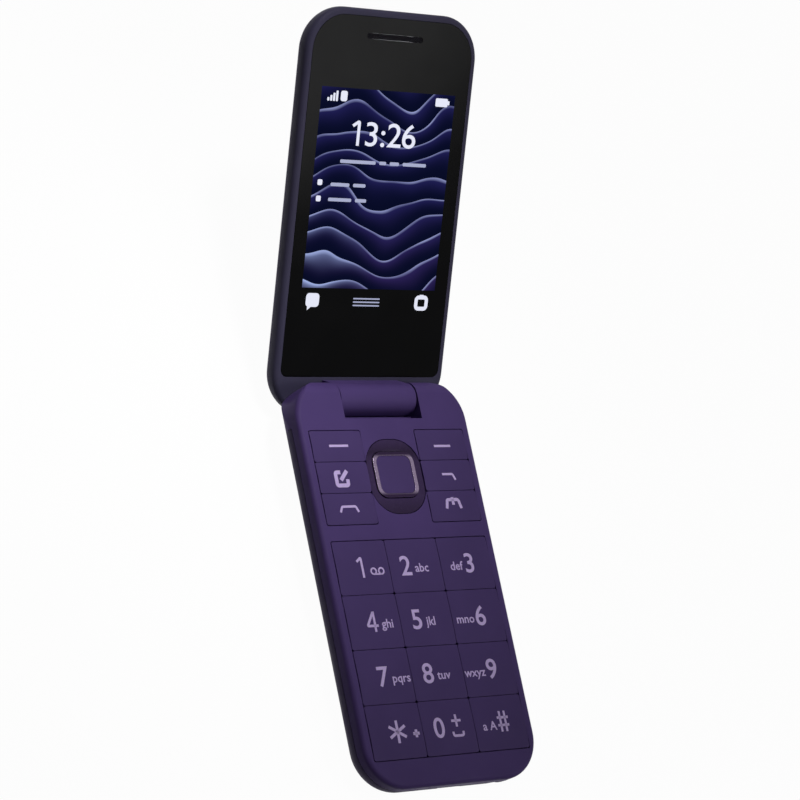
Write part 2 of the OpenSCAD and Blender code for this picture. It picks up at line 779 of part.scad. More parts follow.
// Wall round the battery, open where the contacts reach in
module bay_ring() {
    outer_w = battery_w + 2 * seat_play + 2 * bay_wall;
    translate([0, 0, cover_seam_z]) difference() {
        translate([-outer_w / 2, bay_y - bay_wall, 0])
            cube([outer_w, battery_l + 2 * seat_play + 2 * bay_wall, plate_foot - cover_seam_z]);
        translate([-battery_w / 2 - seat_play, bay_y, -over])
            cube([battery_w + 2 * seat_play, battery_l + 2 * seat_play, base_t]);
        translate([-contact_w / 2 - seat_play, bay_end_y - over, -over])
            cube([contact_w + 2 * seat_play, bay_wall + 2 * over, base_t]);
    }
}

module battery_cover() {
    cover_end = hinge_wall_y - seam;
    pocket_l = cover_end + half_l - 2 * cover_inset;
    slot_l = speaker_l - 2 * sound_slot;
    color(dark_purple) difference() {
        base_band(-over, cover_seam_z - seam, cover_end);
        translate([0, (cover_end - half_l) / 2, cover_t])
            rounded_block(phone_w - 2 * cover_inset, pocket_l, cover_seam_z, corner_r - cover_inset / 2);
        for (i = [-2 : 2]) translate([speaker_x + 3 * i * sound_slot, speaker_y, -over])
            slot_block(sound_slot, slot_l, cover_t + 2 * over);
    }
}

module base_screws() {
    color(steel) base_screw_places() {
        translate([0, 0, cover_seam_z + seat_play]) difference() {
            cylinder(r = screw_head_r, h = screw_head_t);
            translate([0, 0, -over]) cylinder(r = screw_r, h = over + screw_head_t / 2, $fn = 6);
        }
        translate([0, 0, cover_seam_z + seat_play + screw_head_t])
            cylinder(r = screw_r, h = deck_under - deck_t - cover_seam_z - screw_head_t);
    }
}

// Base fittings

module battery() {
    color("#30343c") translate([0, bay_y + seat_play + battery_l / 2, battery_foot])
        rounded_block(battery_w, battery_l, battery_top - battery_foot, battery_r);
}

module battery_contacts() {
    block_t = board_foot - 2 * battery_foot;
    color("#d1b45a") translate([0, bay_end_y + seat_play, board_foot - block_t]) {
        translate([-contact_w / 2, seat_play, 0]) cube([contact_w, contact_l - seat_play, block_t]);
        for (x = [-1 : 1]) translate([x * contact_w / 3, seat_play, block_t / 2])
            rotate([0, 90, 0]) cylinder(r = 2 * seat_play, h = contact_w / 6, center = true);
    }
}

module main_board() {
    color(board_green) difference() {
        translate([0, board_y, board_foot])
            rounded_block(board_w, board_l, board_t, corner_r - base_wall - board_play);
        base_screw_places() translate([0, 0, board_foot - over])
            cylinder(r = boss_r + seat_play, h = board_t + 2 * over);
        translate([jack_x - jack_r - seat_play, -half_l, board_foot - over])
            cube([2 * (jack_r + seat_play), rear_inset + jack_bore_l, board_t + 2 * over]);
    }
}

module board_shields() {
    color(steel) for (x = [-1, 1]) translate([x * shield_x, shield_y, board_foot - shield_h])
        rounded_block(shield_w, shield_l, shield_h, 2 * seat_play);
}

module loudspeaker() {
    lip = base_wall / 2;
    color(near_black) translate([speaker_x, speaker_y, speaker_foot]) difference() {
        rounded_block(speaker_w, speaker_l, speaker_t, lip);
        translate([0, 0, -over])
            rounded_block(speaker_w - 4 * lip, speaker_l - 4 * lip, over + lip / 2, lip);
    }
}

module vibration_motor() {
    color(steel) translate([-motor_x, motor_y, motor_z]) rotate([0, 90, 0]) {
        cylinder(r = motor_r, h = motor_l);
        cylinder(r = motor_shaft_r, h = motor_l + weight_l + 4 * seat_play);
    }
}

// Half-round weight that turns on the motor's shaft
module vibration_weight() {
    reach = motor_r - 2 * seat_play;
    hub_r = motor_shaft_r + 3 * running_fit + seat_play * 2;
    color("#8d8a84") translate([2 * seat_play + motor_l - motor_x, motor_y, motor_z])
        rotate([0, 90, 0]) difference() {
            union() {
                cylinder(r = hub_r, h = weight_l);
                intersection() {
                    cylinder(r = reach, h = weight_l);
                    translate([0, -reach - over, -over])
                        cube([reach + over, 2 * (reach + over), weight_l + 2 * over]);
                }
            }
            translate([0, 0, -over])
                cylinder(r = motor_shaft_r + running_fit, h = weight_l + 2 * over);
        }
}

module microphone() {
    color(steel) translate([-mic_x, base_wall + board_play - half_l + mic_l / 2, board_top])
        rounded_block(mic_l + base_wall / 2, mic_l, deck_under - board_top - dome_t * 2, seat_play);
}

// Folded sheet socket with a tongue
module usb_port() {
    y = tuck(base_edge_r, board_foot - usb_h) - half_l;
    color(steel) translate([-usb_w / 2, y, board_foot - usb_h]) {
        difference() {
            cube([usb_w, usb_l, usb_h]);
            translate([usb_sheet, -over, usb_sheet])
                cube([usb_w - 2 * usb_sheet, usb_l - usb_sheet + over, usb_h - 2 * usb_sheet]);
        }
        translate([2 * usb_sheet, base_wall / 2, usb_h - 4 * usb_sheet])
            cube([usb_w - 4 * usb_sheet, usb_l - base_wall / 2, 2 * usb_sheet]);
    }
}

// Socket with a neck that fills the hole in the casing's end
module headset_jack() {
    neck = rear_inset - half_l - jack_mouth_y + seat_play;
    color(near_black) translate([jack_x, jack_mouth_y, jack_z]) rotate([-90, 0, 0]) difference() {
        union() {
            cylinder(r = jack_neck_r, h = neck + over);
            translate([0, 0, neck]) cylinder(r = jack_r, h = jack_bore_l - neck + jack_r - jack_bore_r);
        }
        translate([0, 0, -over]) cylinder(r = jack_bore_r, h = jack_bore_l + over);
    }
}

module antenna() {
    depth = number_foot_y + half_l - base_wall - 4 * board_play;
    color("#b08a4a") translate([0, base_wall + 2 * board_play - half_l + depth / 2, deck_under - dome_t])
        rounded_block(antenna_w, depth, dome_t, seat_play);
}

// Hinge

module hinge_shaft() {
    head = notch_w / 2;
    color(steel) {
        x_cylinder(shaft_head_r, head - knuckle_play / 3, head + knuckle_reach);
        x_cylinder(shaft_r, head - knuckle_play - cartridge_l / 2, head);
    }
}

module hinge_bush() {
    reach = notch_w / 2;
    color(steel) difference() {
        x_cylinder(bush_r, -reach - knuckle_reach, -reach + knuckle_reach / 2);
        x_cylinder(bush_r - bush_wall, -reach - knuckle_reach - over, -reach + knuckle_reach);
    }
}

// Places a part that is drawn in the lid's own frame on the open lid
module on_lid() {
    translate([0, axis_y, axis_z]) rotate([lid_rise, 0, 0]) translate([0, 0, -axis_lift]) children();
}

module lid_x_cylinder(r, from, to) {
    translate([from, 0, axis_lift]) rotate([0, 90, 0]) cylinder(r = r, h = to - from);
}

// Foot of the knuckle, let into the screen frame
module knuckle_foot(past) {
    translate([lid_wall - knuckle_half, front_edge_r - knuckle_r, -frame_t - past])
        cube([2 * (knuckle_half - lid_wall), window_foot - lid_wall + knuckle_r - front_edge_r,
              frame_t + 2 * past]);
}

module lid_knuckle() {
    color(purple) on_lid() difference() {
        union() {
            lid_x_cylinder(knuckle_r, -knuckle_half, knuckle_half);
            translate([-knuckle_half, -knuckle_r, 0])
                cube([2 * knuckle_half, 2 * knuckle_r, axis_lift]);
            knuckle_foot(0);
        }
        lid_x_cylinder(cartridge_r, knuckle_half - cartridge_l, knuckle_half + over);
        lid_x_cylinder(bush_r + running_fit, -knuckle_half - over,
                       -notch_w / 2 + knuckle_reach / 2 + seat_play);
        lid_x_cylinder(flex_roll_r + seat_play, -knuckle_half, knuckle_half - cartridge_l + seat_play);
        translate([flex_x() - flex_w / 2 - seat_play, -flex_t / 2 - seat_play, -lid_t])
            cube([flex_w + 2 * seat_play, flex_t + 2 * seat_play, lid_t + axis_lift]);
    }
}

// Where the screen cable leaves its roll, between the bush and the cartridge
function flex_x() = (-notch_w / 2 + knuckle_reach / 2 + knuckle_half - cartridge_l) / 2;

module hinge_cartridge() {
    color(steel) on_lid() difference() {
        lid_x_cylinder(cartridge_r, knuckle_half - cartridge_l, knuckle_half);
        lid_x_cylinder(shaft_r + running_fit, knuckle_half - cartridge_l / 2 - 2 * seat_play,
                       knuckle_half + over);
    }
}

// Cable to the screens: rolled in the bush, then a ribbon to the lid's board
module hinge_flex() {
    color("#b5742c") on_lid() {
        lid_x_cylinder(flex_roll_r, -notch_w / 2 - knuckle_reach / 2, knuckle_half - cartridge_l);
        translate([flex_x() - flex_w / 2, -flex_t / 2, -lid_board_foot - lid_board_t])
            cube([flex_w, flex_t, axis_lift + lid_board_foot + lid_board_t]);
    }
}

// Lid casing

module lid_body() {
    translate([0, lid_mid, -lid_t])
        casing_slab(phone_w, lid_l, lid_t, corner_r, lid_edge_r, front_edge_r);
}

module lid_band(low, high) {
    intersection() {
        lid_body();
        translate([-half_w - over, -lid_heel - over, low])
            cube([phone_w + 2 * over, lid_l + 2 * over, high - low]);
    }
}

// Front glass outline: wide corners at the tip, tight ones at the hinge
module window_plan(grow) {
    w = window_w + 2 * grow;
    tip_r = corner_r - window_rim + grow;
    foot_r = window_foot_r + grow;
    for (x = [-1, 1]) {
        translate([x * (w / 2 - tip_r), window_tip + grow - tip_r]) circle(tip_r);
        translate([x * (w / 2 - foot_r), window_foot - grow + foot_r]) circle(foot_r);
    }
    translate([-w / 2, window_foot - grow + foot_r])
        square([w, window_tip - window_foot + 2 * grow - tip_r - foot_r]);
    translate([tip_r - w / 2, window_tip + grow - tip_r - over]) square([w - 2 * tip_r, tip_r + over]);
    translate([foot_r - w / 2, window_foot - grow]) square([w - 2 * foot_r, foot_r + over]);
}

module lid_screw_places() {
    for (x = [-lid_screw_x, lid_screw_x]) translate([x, lid_screw_low, 0]) children();
    for (x = [-1, 1]) translate([x * (lid_screw_x - window_rim - front_edge_r), lid_screw_high, 0])
        children();
}

module lid_front_frame() {
    magnet_place = lid_magnet_place();
    color(frame_grey) on_lid() difference() {
        lid_band(-frame_t, over);
        translate([0, 0, -window_bed]) linear_extrude(window_bed + over) window_plan(seat_play);
        translate([0, display_mid, -frame_t - over])
            rounded_block(display_w + 2 * seat_play, display_l + 2 * seat_play, frame_t + 2 * over,
                          display_r);
        translate([0, ear_y, -window_bed - earpiece_t - seat_play])
            rounded_block(earpiece_w + 2 * seat_play, earpiece_h + 2 * seat_play, frame_t, display_r);
        translate(magnet_place + [0, 0, -window_bed - magnet_t - seat_play])
            rounded_block(magnet_l + 2 * seat_play, magnet_w + 2 * seat_play, frame_t, 2 * seat_play);
        knuckle_foot(over);
        lid_screw_places() {
            translate([0, 0, -frame_t - over]) cylinder(r = screw_r + seat_play, h = frame_t + over);
            translate([0, 0, -window_bed - screw_head_t - seat_play])
                cylinder(r = screw_head_r + seat_play, h = frame_t);
        }
    }
}

function lid_magnet_place() = [earpiece_w / 2 + magnet_gap + magnet_l / 2, ear_y, 0];

module lid_back_cover() {
    inset = lid_wall + tuck(lid_edge_r, lid_back_t);
    color(dark_purple) on_lid() {
        difference() {
            lid_band(-lid_t - over, -frame_t - seam);
            translate([0, lid_mid, -lid_inside])
                rounded_block(phone_w - 2 * inset, lid_l - 2 * inset, lid_inside, corner_r - inset / 2);
            translate([0, outer_window_mid, -lid_t - over])
                rounded_block(outer_window_w + 2 * seat_play, outer_window_l + 2 * seat_play,
                              outer_window_t + seat_play / 2 + over, outer_window_r + seat_play);
            translate([0, outer_display_y, -lid_t])
                rounded_block(outer_display_w + 2 * seat_play, outer_display_l + 2 * seat_play,
                              lid_t, display_r);
            translate([-camera_flash_x / 2, camera_y, -lid_t])
                cylinder(r = camera_r + seat_play, h = lid_t);
            translate([camera_flash_x / 2, camera_y, -lid_t])
                rounded_block(flash_side + 2 * seat_play, flash_side + 2 * seat_play, lid_t, 2 * seat_play);
        }
        lid_screw_places() translate([0, 0, -lid_inside]) difference() {
            cylinder(r = boss_r, h = lid_inside - frame_t - seam);
            translate([0, 0, seat_play]) cylinder(r = screw_r + thread_play, h = lid_inside);
        }
    }
}

module lid_screws() {
    color(steel) on_lid() lid_screw_places() {
        translate([0, 0, -window_bed - screw_head_t]) cylinder(r = screw_head_r, h = screw_head_t);
        translate([0, 0, -lid_inside + 2 * seat_play])
            cylinder(r = screw_r, h = lid_inside - window_bed - screw_head_t - 2 * seat_play);
    }
}

// Screens and lid fittings

module main_window() {
    color(near_black) on_lid() translate([0, 0, -window_t]) difference() {
        linear_extrude(window_t) window_plan(0);
        translate([0, ear_y, -over]) rotate(90)
            slot_block(ear_slot_h, ear_slot_w, window_t + 2 * over);
    }
}

module main_display() {
    color("#20264a") on_lid() translate([0, display_mid, -window_bed - display_t])
        rounded_block(display_w, display_l, display_t, display_r);
}

module earpiece() {
    color(steel) on_lid() translate([0, ear_y, -window_bed - earpiece_t])
        rounded_block(earpiece_w, earpiece_h, earpiece_t, display_r);
}

module earpiece_mesh() {
    play = seat_play / 2;
    color("#3a3a40") on_lid() translate([0, ear_y, -window_t]) rotate(90)
        slot_block(ear_slot_h - 2 * play, ear_slot_w - 2 * play, window_t - 2 * seat_play);
}

module closing_magnet() {
    color(steel) on_lid() translate(lid_magnet_place() + [0, 0, -window_bed - magnet_t])
        rounded_block(magnet_l, magnet_w, magnet_t, seat_play);
}

module lid_board() {
    inset = lid_wall + tuck(lid_edge_r, lid_back_t) + board_play;
    color(board_green) on_lid() difference() {
        translate([0, lid_mid, -lid_board_foot - lid_board_t])
            rounded_block(phone_w - 2 * inset, lid_l - 2 * inset, lid_board_t, corner_r - inset / 2);
        lid_screw_places() translate([0, 0, -lid_t])
            cylinder(r = boss_r + seat_play, h = lid_t);
        translate([flex_x(), 0, -lid_t])
            linear_extrude(lid_t) square([flex_w + 2 * seat_play, flex_t + 2 * seat_play], center = true);
    }
}

module outer_window() {
    color(near_black) on_lid() translate([0, outer_window_mid, -lid_t])
        rounded_block(outer_window_w, outer_window_l, outer_window_t, outer_window_r);
}

module outer_display() {
    color("#20264a") on_lid() translate([0, outer_display_y, -outer_face])
        rounded_block(outer_display_w, outer_display_l, outer_display_t, display_r);
}

module camera_module() {
    board_face = lid_board_foot + lid_board_t;
    color(near_black) on_lid() translate([-camera_flash_x / 2, camera_y, -lid_inside + seat_play]) {
        rounded_block(camera_side, camera_side, lid_inside - seat_play - board_face, 2 * seat_play);
        translate([0, 0, lid_inside - seat_play - outer_face])
            cylinder(r = camera_r, h = outer_face - lid_inside + 2 * seat_play);
    }
}

module flash_led() {
    board_face = lid_board_foot + lid_board_t;
    color("#e8e2c0") on_lid() translate([camera_flash_x / 2, camera_y, -outer_face])
        rounded_block(flash_side, flash_side, outer_face - board_face, seat_play);
}

base_front_housing();
base_rear_housing();
battery_cover();
battery();
battery_contacts();
main_board();
board_shields();
dome_sheet();
key_mat();
loudspeaker();
vibration_motor();
vibration_weight();
microphone();
usb_port();
headset_jack();
antenna();
base_screws();
hinge_shaft();
hinge_bush();
for (i = [0 : len(NUMBER_KEYS) - 1])
    number_key(i);
for (i = [0 : len(UPPER_KEYS) - 1])
    upper_key(i);
nav_pad();
nav_ring();
select_key();
select_bezel();
volume_rocker();
lid_front_frame();
lid_back_cover();
lid_knuckle();
hinge_cartridge();
hinge_flex();
main_window();
main_display();
outer_window();
outer_display();
earpiece();
earpiece_mesh();
camera_module();
flash_led();
lid_board();
lid_screws();
closing_magnet();
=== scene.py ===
"""Looks of an open flip phone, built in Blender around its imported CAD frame.

Properties are in metres, as the frame is. Drawings of printed marks, of the screen and of small
trim are given in millimetres and brought into the frame with MM.
"""

import json
import math

import bmesh
import bpy
from bpy.props import FloatProperty, FloatVectorProperty, IntProperty, PointerProperty, StringProperty
from mathutils import Matrix, Vector
from mathutils.bvhtree import BVHTree


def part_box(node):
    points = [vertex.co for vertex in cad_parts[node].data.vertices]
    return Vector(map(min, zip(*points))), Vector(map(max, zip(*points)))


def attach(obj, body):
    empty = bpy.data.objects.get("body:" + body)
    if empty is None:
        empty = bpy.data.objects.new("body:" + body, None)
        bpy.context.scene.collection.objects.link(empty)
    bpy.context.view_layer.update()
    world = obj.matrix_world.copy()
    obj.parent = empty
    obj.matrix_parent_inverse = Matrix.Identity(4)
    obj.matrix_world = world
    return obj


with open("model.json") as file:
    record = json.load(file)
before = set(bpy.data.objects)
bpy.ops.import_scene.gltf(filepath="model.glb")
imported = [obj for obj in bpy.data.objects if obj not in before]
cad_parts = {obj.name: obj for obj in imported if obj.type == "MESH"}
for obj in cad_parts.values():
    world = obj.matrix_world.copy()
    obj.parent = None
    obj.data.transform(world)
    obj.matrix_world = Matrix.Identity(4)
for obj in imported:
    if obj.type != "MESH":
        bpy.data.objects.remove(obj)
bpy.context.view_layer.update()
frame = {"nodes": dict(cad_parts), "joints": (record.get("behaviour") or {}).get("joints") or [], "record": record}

bl_info = {
    "name": "Flip Phone Looks",
    "version": (1, 0, 0),
    "blender": (4, 5, 0),
    "location": "3D View > Sidebar > Flip Phone",
    "description": "Finishes, printed keys, lit screen, grilles and studio of a flip phone",
    "category": "Object",
}

MM = 0.001
NODES = frame["nodes"]
SLOT_OF = {part["node"]: part["material_slot"] for part in frame["record"]["subparts"]}

# The lid's own frame: Y runs away from the hinge axis, Z = 0 is the face of the front glass
LID_JOINT = next(joint for joint in frame["joints"] if joint["name"] == "lid_hinge")
LID_RISE = math.radians(180 - LID_JOINT["range_deg"][1])
LID_TURN = Matrix.Translation(LID_JOINT["pos_m"]) @ Matrix.Rotation(LID_RISE, 4, "X")
GLASS_LIFT = max((LID_TURN.inverted() @ v.co).z for v in NODES["main_window"].data.vertices)
LID = LID_TURN @ Matrix.Translation((0, 0, GLASS_LIFT))

# Strength of the reflections on moulded and lacquered plastic
PLASTIC_GLOSS = 0.06


def lid_box(node):
    """Lowest and highest corner of a lid node, in the lid's own frame."""
    turned = [LID.inverted() @ v.co for v in NODES[node].data.vertices]
    low = Vector([min(p[i] for p in turned) for i in range(3)])
    high = Vector([max(p[i] for p in turned) for i in range(3)])
    return low, high


# Properties

def linear(code):
    """Linear colour of a six-digit screen colour."""
    parts = [int(code[i:i + 2], 16) / 255 for i in (0, 2, 4)]
    return tuple(p / 12.92 if p <= 0.04045 else ((p + 0.055) / 1.055) ** 2.4 for p in parts)


def colour(name, description, code):
    return FloatVectorProperty(
        name=name, description=description, default=linear(code), subtype="COLOR", min=0, max=1)


def point(name, description, metres):
    return FloatVectorProperty(
        name=name, description=description, default=metres, subtype="XYZ", unit="LENGTH")


def number(name, description, value, **rest):
    return FloatProperty(name=name, description=description, default=value, **rest)


def length(name, description, millimetres):
    value = millimetres * MM
    return number(name, description, value, min=0, precision=5, subtype="DISTANCE", unit="LENGTH")


def angle(name, description, degrees):
    return number(name, description, math.radians(degrees), subtype="ANGLE", unit="ROTATION")


def share(name, description, value):
    return number(name, description, value, min=0, max=1, subtype="FACTOR")


class CasingLook(bpy.types.PropertyGroup):
    """Colours and finish of the moulded casing and keys."""

    shell: colour("Shell", "Purple of the keypad deck and the knuckle", "49396a")
    dark_shell: colour("Dark shell", "Darker purple of the back covers", "332849")
    lid_frame: colour("Lid frame", "Grey purple of the frame round the screen", "3a374b")
    key_caps: colour("Keys", "Purple of the key caps", "463765")
    nav_ring: colour("Navigation ring", "Dark purple of the ring round the select key", "36274a")
    # Ring shade is painted shade on the navigation ring, above the select key and at its lower end
    nav_painted_shade: colour("Ring shade", "Darkest purple of that ring", "261834")
    # The bezel colours paint a reflection: the bright one along its sides, the dark one as painted shade at its
    # ends, over the given reach
    bezel: colour("Bezel", "Polished sides of the bezel round the select key", "7b6d83")
    bezel_end_shade: colour("Bezel ends", "Darkened ends of that bezel", "2b2036")
    bezel_highlight_reach: length("Bezel reach", "Half length of the bezel's polished sides", 5.0)
    roughness: share("Roughness", "Sheen of the satin shell", 0.5)
    grain: length("Grain", "Size of the fine grain moulded into the shell", 0.16)
    edge_round: length("Edge rounding", "Soft edge of casing parts", 0.15)
    key_edge: length("Key edge", "Rounded edge of the key caps", 0.09)


class PrintLook(bpy.types.PropertyGroup):
    """Ink and sizes of the marks printed on the keys."""

    ink: colour("Ink", "Pale lavender of the printed marks", "bfa9dc")
    thickness: length("Ink thickness", "Body of the printed ink", 0.02)
    sink: length("Ink sink", "Depth of the ink in the key's lacquer", 0.005)
    digit_height: length("Digit height", "Height of the digits on the number keys", 5.3)
    letter_height: length("Letter height", "Height of a small letter beside a digit", 1.55)
    line_width: length("Line width", "Width of drawn marks", 0.62)
    line_corner: length("Line corner", "Rounding of the corners of drawn marks", 0.5)
    cut_step: length("Cut step", "Distance of the cuts that let ink follow a key's crown", 0.45)


class ScreenLook(bpy.types.PropertyGroup):
    """Picture and readout on the main screen."""

    width: length("Width", "Lit width", 43.2)
    foot: length("Foot", "Distance from the hinge axis to the lit area", 22.85)
    height: length("Height", "Lit height", 57.6)
    bar: length("Key bar", "Height of the black bar at the foot of the screen", 5.75)
    crest_pitch: length("Crest pitch", "Distance between the crests of the wallpaper", 5.6)
    night: colour("Night", "Darkest colour of the wallpaper", "080c26")
    dusk: colour("Dusk", "Middle colour of the wallpaper", "24225a")
    crest: colour("Crest", "Lit crests on the wallpaper", "9aa2d2")
    violet: colour("Violet", "Tint of the wallpaper towards its foot", "33265e")
    glow: colour("Glow", "Pale light on the lowest crests", "a9bdf0")
    light: colour("Readout", "Colour of clock and signs", "dcdff0")
    words: colour("Words", "Colour of the lines of words", "969cbe")
    glass: colour("Glass", "Body colour of the black glass", "030304")
    clock: StringProperty(name="Clock", description="Time shown on the screen", default="13:26")
    clock_height: length("Clock height", "Height of the clock's figures", 6.3)


class StudioLook(bpy.types.PropertyGroup):
    """Camera, lamps and floor."""

    lens: number("Lens", "Focal length on a 36 mm sensor", 134.05, min=1)
    eye: point("Eye", "Place of the camera", (-0.46554, -0.15219, 0.59715))
    aim: FloatVectorProperty(
        name="Aim", description="Turn of the camera",
        default=[math.radians(a) for a in (23.30, -34.91, -13.99)], subtype="EULER", unit="ROTATION")
    floor_tilt: angle("Floor tilt", "Turn of the floor under the open phone's heel", -3.27)
    floor_drop: length("Floor drop", "Depth of the floor below the base's back", 2.74)
    floor_glow: share("Floor glow", "Share of the floor's white that no shadow dims", 0.97)
    ambient: number("Ambient", "Light from all round", 0.05, min=0)
    key_power: number("Key lamp", "Power of the lamp over the hinge", 18.8, min=0)
    key_cone: angle("Key cone", "Opening of the key lamp", 18.0)
    key_radius: length("Key radius", "Radius of the key lamp", 80)
    key_place: point("Key place", "Place of the key lamp", (-0.02, 0.3, 0.55))
    key_target: point("Key target", "Point that the key lamp looks at", (-0.04, 0.075, 0.02))
    fill_power: number("Soft box", "Power of the wide soft lamp", 1.5, min=0)
    fill_size: length("Soft box size", "Width of the soft lamp", 340)
    fill_place: point("Soft box place", "Place of the soft lamp", (0.39, -0.15, 0.68))
    fill_target: point("Soft box target", "Point that the soft lamp looks at", (0, 0.08, 0.03))


class FlipPhone(bpy.types.PropertyGroup):
    """All settings of the phone's looks."""

    casing: PointerProperty(type=CasingLook)
    print: PointerProperty(type=PrintLook)
    screen: PointerProperty(type=ScreenLook)
    studio: PointerProperty(type=StudioLook)


# Node trees

class Graph:
    """A node tree and short ways to add to it."""

    def __init__(self, tree):
        self.tree = tree

    def add(self, kind, inputs=None, **settings):
        """Adds a node with its settings, and links or sets its inputs."""
        node = self.tree.nodes.new(kind)
        for key, value in settings.items():
            setattr(node, key, value)
        for key, value in (inputs or {}).items():
            if isinstance(value, bpy.types.NodeSocket):
                self.tree.links.new(value, node.inputs[key])
            else:
                node.inputs[key].default_value = value
        return node

    def out(self, kind, inputs=None, socket=0, **settings):
        """Adds a node and returns one of its outputs."""
        return self.add(kind, inputs, **settings).outputs[socket]

    def math(self, operation, *values):
        return self.out("ShaderNodeMath", dict(enumerate(values)), operation=operation)


class Finish(Graph):
    """A material whose patterns read Object coordinates."""

    def __init__(self, name):
        self.material = bpy.data.materials.new(name)
        self.material.use_nodes = True
        super().__init__(self.material.node_tree)
        self.tree.nodes.clear()
        self.place = self.out("ShaderNodeTexCoord", socket="Object")

    def noise(self, size, detail=2.0, place=None):
        inputs = {"Vector": place or self.place, "Scale": 1 / size, "Detail": detail}
        return self.out("ShaderNodeTexNoise", inputs, "Fac")

    def spread(self, value, low, high, start=0.3, end=0.7):
        """Maps a value between start and end to one between low and high."""
        return self.out("ShaderNodeMapRange", {0: value, 1: start, 2: end, 3: low, 4: high})

    def mix(self, factor, first, second):
        ends = [value if isinstance(value, bpy.types.NodeSocket) else (*value, 1)
                for value in (first, second)]
        return self.out("ShaderNodeMix", {0: factor, 6: ends[0], 7: ends[1]}, 2, data_type="RGBA")

    def clouded(self, shade, pattern, low, high):
        """A colour that a pattern varies between two strengths."""
        return self.mix(self.spread(pattern, 0.0, 1.0), tinted(shade, low), tinted(shade, high))

    def bump(self, height, strength, distance, normal=None):
        inputs = {"Height": height, "Strength": strength, "Distance": distance}
        if normal:
            inputs["Normal"] = normal
        return self.out("ShaderNodeBump", inputs, "Normal")

    def along(self):
        """Place along the phone."""
        return self.out("ShaderNodeSeparateXYZ", {0: self.place}, 1)

    def away(self, y):
        """Distance along the phone from a given place."""
        return self.math("ABSOLUTE", self.math("SUBTRACT", self.along(), y))

    def soft_edge(self, radius):
        """Rounded normal at edges, and how far a point's edge turns."""
        soft = self.out("ShaderNodeBevel", {"Radius": radius}, "Normal", samples=4)
        true = self.out("ShaderNodeNewGeometry", socket="Normal")
        facing = self.out("ShaderNodeVectorMath", {0: soft, 1: true}, "Value", operation="DOT_PRODUCT")
        return soft, self.spread(facing, 1.0, 0.0, start=0.75, end=0.995)

    def close(self, **inputs):
        """Adds the shader, its sockets named by words joined with underscores."""
        sockets = {key.replace("_", " "): value for key, value in inputs.items()}
        for key in ("Base Color", "Emission Color"):
            if key in sockets and not isinstance(sockets[key], bpy.types.NodeSocket):
                sockets[key] = (*sockets[key], 1)
        shader = self.out("ShaderNodeBsdfPrincipled", sockets, "BSDF")
        self.add("ShaderNodeOutputMaterial", {"Surface": shader})
        return self.material


def tinted(shade, factor):
    """A colour made darker or lighter."""
    return tuple(min(1.0, part * factor) for part in shade)


def moulded(name, shade, roughness, grain, edge, edge_highlight_gain=1.18):
    """Moulded plastic: cloudy colour, fine grain, and a patchy painted highlight on its edges."""
    finish = Finish(name)
    body = finish.clouded(shade, finish.noise(14 * MM, detail=3), low=0.94, high=1.06)
    soft, turn = finish.soft_edge(edge)
    # Painted highlight: edges are made lighter in specks, as if they caught the light
    speck = finish.noise(1.2 * MM, detail=4)
    painted_edge_highlight = finish.math("MULTIPLY", turn, finish.spread(speck, 0.25, 1.0))
    body = finish.mix(painted_edge_highlight, body, tinted(shade, edge_highlight_gain))
    sheen = finish.spread(finish.noise(5 * MM, detail=3), roughness - 0.05, roughness + 0.05)
    normal = finish.bump(finish.noise(grain), strength=0.09, distance=grain * 0.3, normal=soft)
    return finish.close(Base_Color=body, Roughness=sheen, Normal=normal, Specular_IOR_Level=PLASTIC_GLOSS)


def brushed(name, code, roughness, grain):
    """Rolled or drawn metal: streaks along X, faint stains."""
    finish = Finish(name)
    stretched = finish.out("ShaderNodeMapping", {"Vector": finish.place, "Scale": (0.06, 1.0, 1.0)})
    streak = finish.noise(grain, detail=4, place=stretched)
    body = finish.clouded(linear(code), finish.noise(3 * MM, detail=3), low=0.9, high=1.05)
    sheen = finish.spread(streak, roughness - 0.06, roughness + 0.08)
    normal = finish.bump(streak, strength=0.06, distance=grain * 0.2)
    return finish.close(Base_Color=body, Metallic=1.0, Roughness=sheen, Normal=normal)


def painted_bezel_reflection(name, look):
    """Bezel metal with a painted reflection: lighter along its two sides, painted shade at its ends."""
    finish = Finish(name)
    low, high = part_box("select_bezel")
    fade = 0.5 * MM
    # Painted reflection: the sides take the bright bezel colour, and the ends the dark one as painted shade
    ends = finish.spread(finish.away((low.y + high.y) / 2), 0.0, 1.0,
                         start=look.bezel_highlight_reach - fade, end=look.bezel_highlight_reach + fade)
    painted_side_highlight = finish.clouded(look.bezel, finish.noise(1.5 * MM, detail=3), low=0.9, high=1.05)
    streak = finish.noise(0.2 * MM, detail=4)
    sheen = finish.spread(streak, 0.2, 0.32)
    normal = finish.bump(streak, strength=0.05, distance=0.03 * MM)
    body = finish.mix(ends, painted_side_highlight, look.bezel_end_shade)
    return finish.close(Base_Color=body, Metallic=1.0, Roughness=sheen, Normal=normal)


